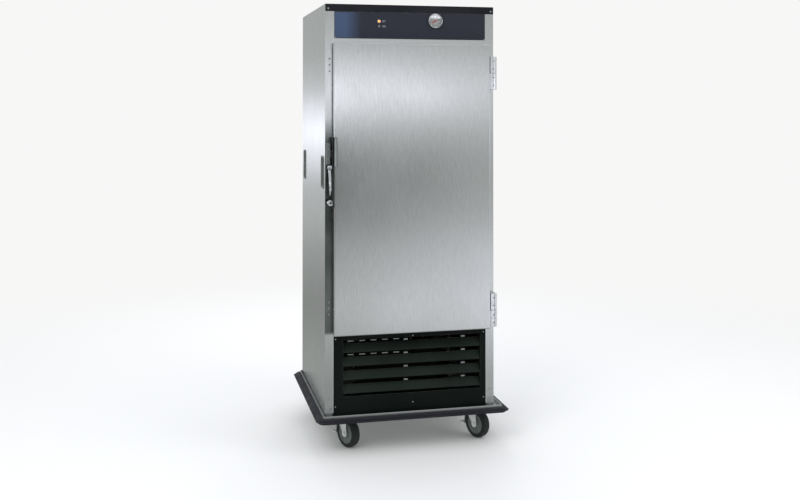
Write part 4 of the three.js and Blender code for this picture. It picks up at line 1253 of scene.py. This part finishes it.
def service_panel():
    """A screwed cover low on the back, framing the vents."""
    outer = rounded_outline((-COVER_HALF, COVER_LOW), (COVER_HALF, COVER_HIGH), 12)
    inner = rounded_outline((-OPENING_HALF, OPENING_LOW), (OPENING_HALF, OPENING_HIGH), 8)
    root, face = BACK_FACE - 0.4, BACK_FACE + COVER_THICK
    levels = ((outer, root), (outer, face), (inner, face), (inner, root))
    return ring_loft([[(VENT_CENTRE + x, depth, z) for x, z in ring] for ring, depth in levels])


def service_screws():
    inset = 12
    across = COVER_HALF - inset
    face = BACK_FACE + COVER_THICK
    rows = (COVER_LOW + inset, COVER_HIGH - inset)
    places = [(VENT_CENTRE + x, face, z) for x in (-across, 0, across) for z in rows]
    places += [(VENT_CENTRE + x, face, sum(rows) / 2) for x in (-across, across)]
    return screws(places, 3.4, "Y", 0.4)


def back_screws():
    lowest, highest = ends("back_panel")
    inset = 14
    heights = spread(lowest.z + inset, highest.z - inset, 9)
    columns = spread(lowest.x + inset, highest.x - inset, 5)
    places = [(x, highest.y, z) for x in (columns[0], columns[-1]) for z in heights]
    places += [(x, highest.y, z) for x in columns[1:-1] for z in (heights[0], heights[-1])]
    return screws(places, 3.4, "Y", 0.5)


def gland_body():
    """The cord's inlet: a hex body, a ribbed dome nut and a dark throat."""
    centre = middle("power_gland")
    skin = BACK_FACE + 0.3
    end, throat, rib = high("power_gland").y - skin, 6.2, 0.5
    flange_profile = [(6, 0), (17, 0), (17, 1.4), (16, 2), (6, 2)]
    flange = turned(flange_profile, 6, (centre.x, skin, centre.z), "Y")
    levels = ((2, 15), (9, 15), (12, 13.6), (17, 11.6), (end, 9.4), (end, throat), (4, throat))
    rings = []
    for level, radius in levels:
        ring = []
        for step, (a, b) in enumerate(circle(1, 36)):
            reach = radius if radius > 9 and step % 4 < 2 else radius - rib
            ring.append((centre.x + reach * a, skin + level, centre.z + reach * b))
        rings.append(ring)
    return merged(flange, loft(rings))


def roof_screws():
    lowest, highest = ends("top_panel")
    inset = 14
    across = spread(lowest.x + inset, highest.x - inset, 4)
    along = spread(lowest.y + 3 * inset, highest.y - inset, 5)
    places = [(x, y, highest.z) for x in (across[0], across[-1]) for y in along]
    places += [(x, along[-1], highest.z) for x in across[1:-1]]
    return screws(places, 3.6, "Z", 1.68)


piece("post_trims", post_trims(), STEEL_EDGE, "cabinet")
piece("post_shoes", post_shoes(), ZINC, "cabinet")
post_heads = edge_screws("front_frame", inset=19, rise=88, radius=3.6, sunk=0.4)
piece("post_screws", post_heads, ZINC, "cabinet")
piece("spare_hinge_screws", spare_hinge_screws(), ZINC, "cabinet")
for where, side in (("left_front", -1), ("left_rear", -1), ("right_front", 1), ("right_rear", 1)):
    node = f"hand_grip_{where}"
    piece(f"grip_pocket_{where}", grip_pocket(node, side), GREY_CASTING, "cabinet", [node])
    piece(f"grip_screws_{where}", grip_screws(node, side), ZINC, "cabinet")
piece("vent_hoods", vent_hoods(), STEEL_FLAT, "cabinet")
piece("vent_screen", vent_screen(), BLACK_SLAT, "cabinet")
piece("service_panel", service_panel(), STEEL_FLAT, "cabinet")
piece("service_screws", service_screws(), ZINC, "cabinet")
piece("back_screws", back_screws(), ZINC, "cabinet")
piece("roof_screws", roof_screws(), ZINC, "cabinet")
piece("gland_body", gland_body(), PLASTIC, "cabinet", ["power_gland"])


# ---------------------------------------------------------------- base and bumper

def bumper_rail():
    """Extruded vinyl: a rounded band with a lip along its middle and a shallow groove each side of it."""
    lowest, highest = ends("bumper")
    tray_low, tray_high = ends("base_tray")
    fin, band = tray_low.x - lowest.x, tray_low.x - lowest.x - 12
    top, centre = highest.z, middle("bumper").z
    edge = 3.5
    eased = 0.29 * edge
    upper = [(0.3, top), (band - edge, top), (band - eased, top - eased), (band, top - edge)]
    upper += [(band, centre + 5.2), (band - 1, centre + 4.4), (band + 0.5, centre + 3.6)]
    upper += [(fin - 1.6, centre + 1.6), (fin, centre + 0.5)]
    lower = [(reach, 2 * centre - height) for reach, height in reversed(upper)]
    return frame_sweep([*upper, *lower], (tray_low.x, tray_low.y), (tray_high.x, tray_high.y), 8, 8)


def tray_lip():
    """The rolled top edge of the base tray."""
    lowest, highest = ends("base_tray")
    radius, flatness = 1.5, 0.8
    centre = highest.z - 1.2
    section = [(x - radius - 0.05, centre + flatness * y) for x, y in circle(radius, 12)]
    return frame_sweep(section, (lowest.x, lowest.y), (highest.x, highest.y), 6, 5)


piece("bumper_rail", bumper_rail(), VINYL, "cabinet", ["bumper"])
piece("tray_lip", tray_lip(), STEEL_EDGE, "cabinet")


# ---------------------------------------------------------------- grille and machine bay

SLAT_THICK = 1.6


def slat(node):
    """A louvre with a rolled lower hem and an upturned rear edge."""
    lowest, highest = ends(node)
    near, far = lowest.y, highest.y
    z, top = lowest.z, highest.z
    hem = 2.6
    curl = arc((near + hem, z + hem), hem, 180, 360, 6)
    rear = [(far - 0.4, top - 2.2), (far, top - 1), (far - 0.6, top - 0.2)]
    outline = [(near, z + 6), *curl, (near + 2 * hem - 1, z + 4), (near + SLAT_THICK, z + 5), *rear]
    return prism(outline, (lowest.x, highest.x))


def strap_rivets():
    """Bright rivets that tie the slats to the straps behind them, one per gap."""
    strap_places = [low("front_frame").x + offset for offset in (371, 638)]
    depth = low("louvre_blade_1").y + 22
    clips = []
    for index in range(1, 5):
        blade_top = high(f"louvre_blade_{index}").z
        for across in strap_places:
            place = (across, depth, blade_top + 6.5)
            clips.append(box_about(place, (19, 3, 6.4), 1.4))
    return merged(*clips)


def guard_clips():
    """Spring clips along the top of the finger guard, seen through the upper gaps."""
    left = low("louvre_blade_1").x + 38
    depth = low("louvre_blade_1").y + 27
    clips = []
    for node in ("louvre_blade_4", "louvre_blade_3"):
        for column in range(5):
            place = (left + column * 52, depth, high(node).z + 9)
            clips.append(box_about(place, (27, 2, 4), 0.9))
    return merged(*clips)


def kick_screws():
    lowest, highest = ends("grille_frame")
    columns = (lowest.x + 9, middle("grille_frame").x + 10, highest.x - 9)
    places = [(x, lowest.y, z) for x in columns for z in (lowest.z + 44, highest.z - 14)]
    return screws(places, 3.2, "-Y", 0.3)


def coil_fins():
    """Thin vertical fins across the face of the condenser."""
    lowest = low("condenser_coil") + Vector((34, 6, 33))
    highest = high("condenser_coil") - Vector((3, 6, 6))
    pitch, half, deep = 4, 0.2, 5
    fins = []
    for fin in range(int((highest.x - lowest.x) / pitch)):
        x = lowest.x + (fin + 0.5) * pitch
        fins.append(rounded_box((x - half, lowest.y - deep, lowest.z), (x + half, lowest.y, highest.z), 0))
    return merged(*fins)


def compressor_lines():
    """Copper suction and discharge lines with soft bends."""
    centre = middle("compressor")
    start = Vector((centre.x, centre.y, high("compressor").z))
    coil = high("condenser_coil")
    suction = [start + Vector(step) for step in (
        (-60, 0, -60), (-105, 0, -40), (-112, -40, 40), (-105, 40, 120), (-100, 50, 185))]
    discharge = [start + Vector(step) for step in ((-10, -84, -70), (-15, -125, -50), (-40, -220, -20))]
    discharge += [(coil.x - 20, coil.y + 40, start.z - 30), (coil.x - 10, coil.y + 2, start.z - 60)]
    return merged(pipe(suction, 5), pipe(discharge, 4))


def fan_blades(centre, hub, tip, depth, count, axis):
    """Curved, pitched blades on a rounded hub, made about Z and turned to face along the axis."""
    hub_profile = [(0, -depth / 2), (hub - 2, -depth / 2), (hub, -depth / 2 + 2), (hub, depth / 2 - 3),
                   (hub - 3, depth / 2), (0, depth / 2)]
    shapes = [turned(hub_profile, 32)]
    spans = 8
    for blade in range(count):
        rings = []
        for span in range(spans + 1):
            share = span / spans
            radius = hub - 1.5 + (tip - hub + 1.5) * share
            sweep = 0.35 * share ** 1.5
            pitch = 0.72 - 0.25 * share
            chord = (0.9 + 0.75 * math.sin(math.pi * min(share + 0.15, 1) * 0.8)) * (tip * 0.28)
            ring = []
            for along, thick in ((-0.5, 0), (-0.2, 0.9), (0.2, 0.9), (0.5, 0), (0.2, -0.7), (-0.2, -0.7)):
                bow = (0.25 - along * along) * chord * 0.25
                across = along * chord * math.cos(pitch)
                up = along * chord * math.sin(pitch) * 0.62 + bow * 0.5 + thick * 0.9
                turn = 2 * math.pi * blade / count + sweep + across / radius
                ring.append((radius * math.cos(turn), radius * math.sin(turn), up))
            rings.append(ring)
        shapes.append(loft(rings))
    return moved(merged(*shapes), Matrix.Translation(centre) @ FACING[axis])


for blade_index in range(1, 5):
    blade_node = f"louvre_blade_{blade_index}"
    piece(f"slat_{blade_index}", slat(blade_node), BLACK_SLAT, "cabinet", [blade_node])
piece("strap_rivets", strap_rivets(), ZINC, "cabinet")
piece("guard_clips", guard_clips(), ZINC, "cabinet")
piece("kick_screws", kick_screws(), ZINC, "cabinet")
piece("coil_fins", coil_fins(), DARK_FIN, "cabinet")
piece("compressor_lines", compressor_lines(), COPPER, "cabinet")
cooling_fan = fan_blades(middle("condenser_fan"), 24, 98, 17, 5, "Y")
piece("cooling_blades", cooling_fan, ALUMINIUM, "cooling_fan", ["condenser_fan"])
chamber_fan = fan_blades(middle("circulation_fan"), 20, 70, 19, 6, "Z")
piece("chamber_blades", chamber_fan, ALUMINIUM, "chamber_fan", ["circulation_fan"])


# ---------------------------------------------------------------- chamber

def rack_rivets():
    """Weld buttons where each slide meets its uprights."""
    first_slide, slide_pitch, slides, web = 68.5, 135, 8, 12.2
    dots = []
    for node, axis in (("pan_rack_left", "X"), ("pan_rack_right", "-X")):
        lowest, highest = ends(node)
        face = lowest.x + web if axis == "X" else highest.x - web
        for upright in (lowest.y + 106, lowest.y + 526):
            for slide in range(slides):
                place = (face, upright, lowest.z + first_slide + slide * slide_pitch)
                dots.append(pan_head(place, 3, axis, recess=False))
    return merged(*dots)


def duct_screws():
    lowest, highest = ends("air_duct")
    inset = 12
    columns = spread(lowest.x + inset, highest.x - inset, 5)
    places = [(x, y, lowest.z) for x in columns for y in (lowest.y + inset, highest.y - inset)]
    return screws(places, 3.2, "-Z")


def duct_guard():
    """Wire guard under the duct's inlet."""
    fan, level = middle("circulation_fan"), low("air_duct").z + 0.9
    place = (fan.x, fan.y, level)
    wires = [ring_turned(circle(1, 8, (radius, 0)), 48, place) for radius in (24, 44, 64, 84)]
    for (inner_x, inner_y), (outer_x, outer_y) in zip(circle(23, 8), circle(86, 8)):
        spoke = [(fan.x + inner_x, fan.y + inner_y, level), (fan.x + outer_x, fan.y + outer_y, level)]
        wires.append(pipe(spoke, 1, 8, 1))
    return merged(*wires)


piece("rack_welds", rack_rivets(), STEEL_EDGE, "cabinet")
piece("duct_screws", duct_screws(), ZINC, "cabinet")
piece("duct_guard", duct_guard(), CHROME, "cabinet")


# ---------------------------------------------------------------- casters

TYRE_HALF = 19
LEG_INNER = 22
LEG_OUTER = 25
FORK_FRONT, FORK_BACK = -28, 46
CROWN_DEPTH = 9


class Caster:
    """One caster's own frame: origin on the floor under the swivel, +X along the trail, +Y along the axle."""

    def __init__(self, name):
        self.name = name
        swivel, axle = pivot(f"swivel_{name}"), pivot(f"roll_{name}")
        along = Vector((axle.x - swivel.x, axle.y - swivel.y, 0))
        turn = math.atan2(along.y, along.x)
        self.matrix = Matrix.Translation((swivel.x, swivel.y, 0)) @ Matrix.Rotation(turn, 4, "Z")
        self.trail, self.axle_z = along.length, axle.z
        self.crown_top = high(f"caster_fork_{name}").z
        self.braked = f"brake_pedal_{name}" in NODES

    def pedal_pin(self):
        return self.matrix.inverted() @ pivot(f"brake_{self.name}")

    def on_axle(self, profile, steps):
        """A section that closes on itself, turned round the axle."""
        return ring_turned(profile, steps, (self.trail, 0, self.axle_z), "Y")

    def placed(self, *shapes):
        return moved(merged(*shapes), self.matrix)


def both_ways(half_profile):
    """Mirrors a [radius, offset] profile across the wheel's middle and closes it."""
    return [*half_profile, *[(radius, -offset) for radius, offset in reversed(half_profile)]]


def tyre(caster):
    half, radius = TYRE_HALF, caster.axle_z
    wall = [(44.8, half - 0.6), (47, half), (54.5, half), (56, half - 0.7)]
    wall += [(57.5, half - 0.3), (60, half - 1.4)]
    tread = [(62.2, half - 4.2), (radius - 0.3, half - 8), (radius, half - 12)]
    return caster.placed(caster.on_axle(both_ways([*wall, *tread]), 64))


def wheel_hub(caster):
    half = TYRE_HALF
    boss = [(5.4, half + 2), (12.5, half + 2), (13.5, half + 1.2), (14.5, half - 3.5)]
    disc = [(18, half - 5), (38, half - 5), (40.5, half - 3.6), (42.5, half - 0.8), (44.9, half - 0.8)]
    parts = [caster.on_axle(both_ways([*boss, *disc]), 56)]
    centre, ribs = Matrix.Translation((caster.trail, 0, caster.axle_z)), 6
    for side in (-1, 1):
        for rib in range(ribs):
            bar = box_about((26.5, side * (half - 4), 0), (26, 2.4, 2.6), 0.8)
            parts.append(moved(bar, centre @ Matrix.Rotation(2 * math.pi * rib / ribs, 4, "Y")))
    return caster.placed(*parts)


def leg_outline(caster):
    top = caster.crown_top - CROWN_DEPTH
    return [(FORK_FRONT, top), (FORK_BACK, top), *arc((caster.trail, caster.axle_z), 15.5, 12, -192, 12)]


def fork_body(caster):
    """Pressed legs with a bridge, a dished crown and, on a braked caster, lugs for the pedal's pin."""
    top = caster.crown_top
    spans = ((-LEG_OUTER, -LEG_INNER), (LEG_INNER, LEG_OUTER))
    parts = [prism(leg_outline(caster), span, "Y", 0.9) for span in spans]
    bridge_high = (FORK_BACK, LEG_OUTER, top - CROWN_DEPTH)
    parts.append(rounded_box((FORK_FRONT, -LEG_OUTER, top - 15), bridge_high, 2.2))
    crown = [(0, top - 12), (33, top - 12), (34, top - 10), (33.4, top - 5)]
    crown += [(29, top - 0.6), (27, top), (0, top)]
    parts.append(turned(crown, 40))
    if caster.braked:
        pin = caster.pedal_pin()
        lug = [(-8, pin.z - 5.5), (-8, pin.z + 5.5), *arc((pin.x, pin.z), 5.8, 90, 270, 8)]
        parts += [prism(lug, span, "Y", 0.6) for span in ((-23, -17.2), (17.2, 23))]
    return caster.placed(*parts)


def axle_set(caster):
    """Axle, washers, a hex head on one side and a nut on the other."""
    tip, shoulder = LEG_OUTER + 6.5, LEG_OUTER + 5.8
    axle = [(0, -tip), (4.4, -tip), (5, -shoulder), (5, shoulder), (4.4, tip), (0, tip)]
    washer = [(5, 0), (10.5, 0), (10.5, 1.2), (10, 1.6), (5, 1.6)]
    head = [(0, 1.6), (9, 1.6), (9, 5.2), (8.2, 6), (0, 6)]
    parts = [turned(axle, 24, (caster.trail, 0, caster.axle_z), "Y")]
    for near, axis in ((-LEG_OUTER, "-Y"), (LEG_OUTER, "Y")):
        seat = (caster.trail, near, caster.axle_z)
        parts += [turned(washer, 32, seat, axis), turned(head, 6, seat, axis)]
    return caster.placed(*parts)


def pedal_body(caster):
    """A pressed kick pedal: shoe ahead of the tread, ribbed foot tab and pin."""
    pin, axle = caster.pedal_pin(), (caster.trail, caster.axle_z)
    inner, outer, half, pin_half = 71, 74, 15, 24
    start, end = 180 - math.degrees(0.95), 180 + math.degrees(0.2)
    outline = [*arc(axle, outer, start, end, 14), *arc(axle, inner, end, start, 14)]
    shoe = prism(outline, (-half, half), "Y", 0.7)
    tab_far, tab_near, level = caster.trail - 100, caster.trail - 70, caster.axle_z - 11
    tab = rounded_box((tab_far, -half - 4, level - 2.8), (tab_near, half + 4, level + 2), 2)
    ribs = [box_about((tab_far + 6 + 5 * rib, 0, level + 2), (1.6, 30, 1.6), 0.5) for rib in range(4)]
    rods = []
    for radius, reach, steps in ((5, half, 24), (2.6, pin_half, 16)):
        rod = [(0, -reach), (radius, -reach), (radius, reach), (0, reach)]
        rods.append(turned(rod, steps, (pin.x, 0, pin.z), "Y"))
    web = rounded_box((pin.x, -half, pin.z - 3), (-4, half, pin.z + 3), 0.8)
    return caster.placed(shoe, tab, *ribs, *rods, web)


def plate_bolts(caster):
    """Hex heads under the top plate."""
    bottom = low(f"caster_plate_{caster.name}").z + 6
    swivel = caster.matrix.to_translation()
    head = [(0, -5), (6, -5), (6.5, -4.4), (6.5, 1), (0, 1)]
    places = [(swivel.x + across, swivel.y + deep, bottom) for across in (-38, 38) for deep in (-29, 29)]
    return merged(*[turned(head, 6, place) for place in places])


for caster_name in ("front_left", "front_right", "rear_left", "rear_right"):
    caster = Caster(caster_name)
    wheel, fork = f"wheel_{caster_name}", f"fork_{caster_name}"
    piece(f"tyre_{caster_name}", tyre(caster), TREAD, wheel, [f"caster_wheel_{caster_name}"])
    piece(f"hub_{caster_name}", wheel_hub(caster), HUB_PLASTIC, wheel)
    piece(f"legs_{caster_name}", fork_body(caster), CASTER_ZINC, fork, [f"caster_fork_{caster_name}"])
    piece(f"axle_{caster_name}", axle_set(caster), CASTER_ZINC, fork)
    piece(f"plate_bolts_{caster_name}", plate_bolts(caster), ZINC, "cabinet")
    if caster.braked:
        pedal = pedal_body(caster)
        pedal_node = f"brake_pedal_{caster_name}"
        piece(f"kick_pedal_{caster_name}", pedal, CASTER_ZINC, f"pedal_{caster_name}", [pedal_node])
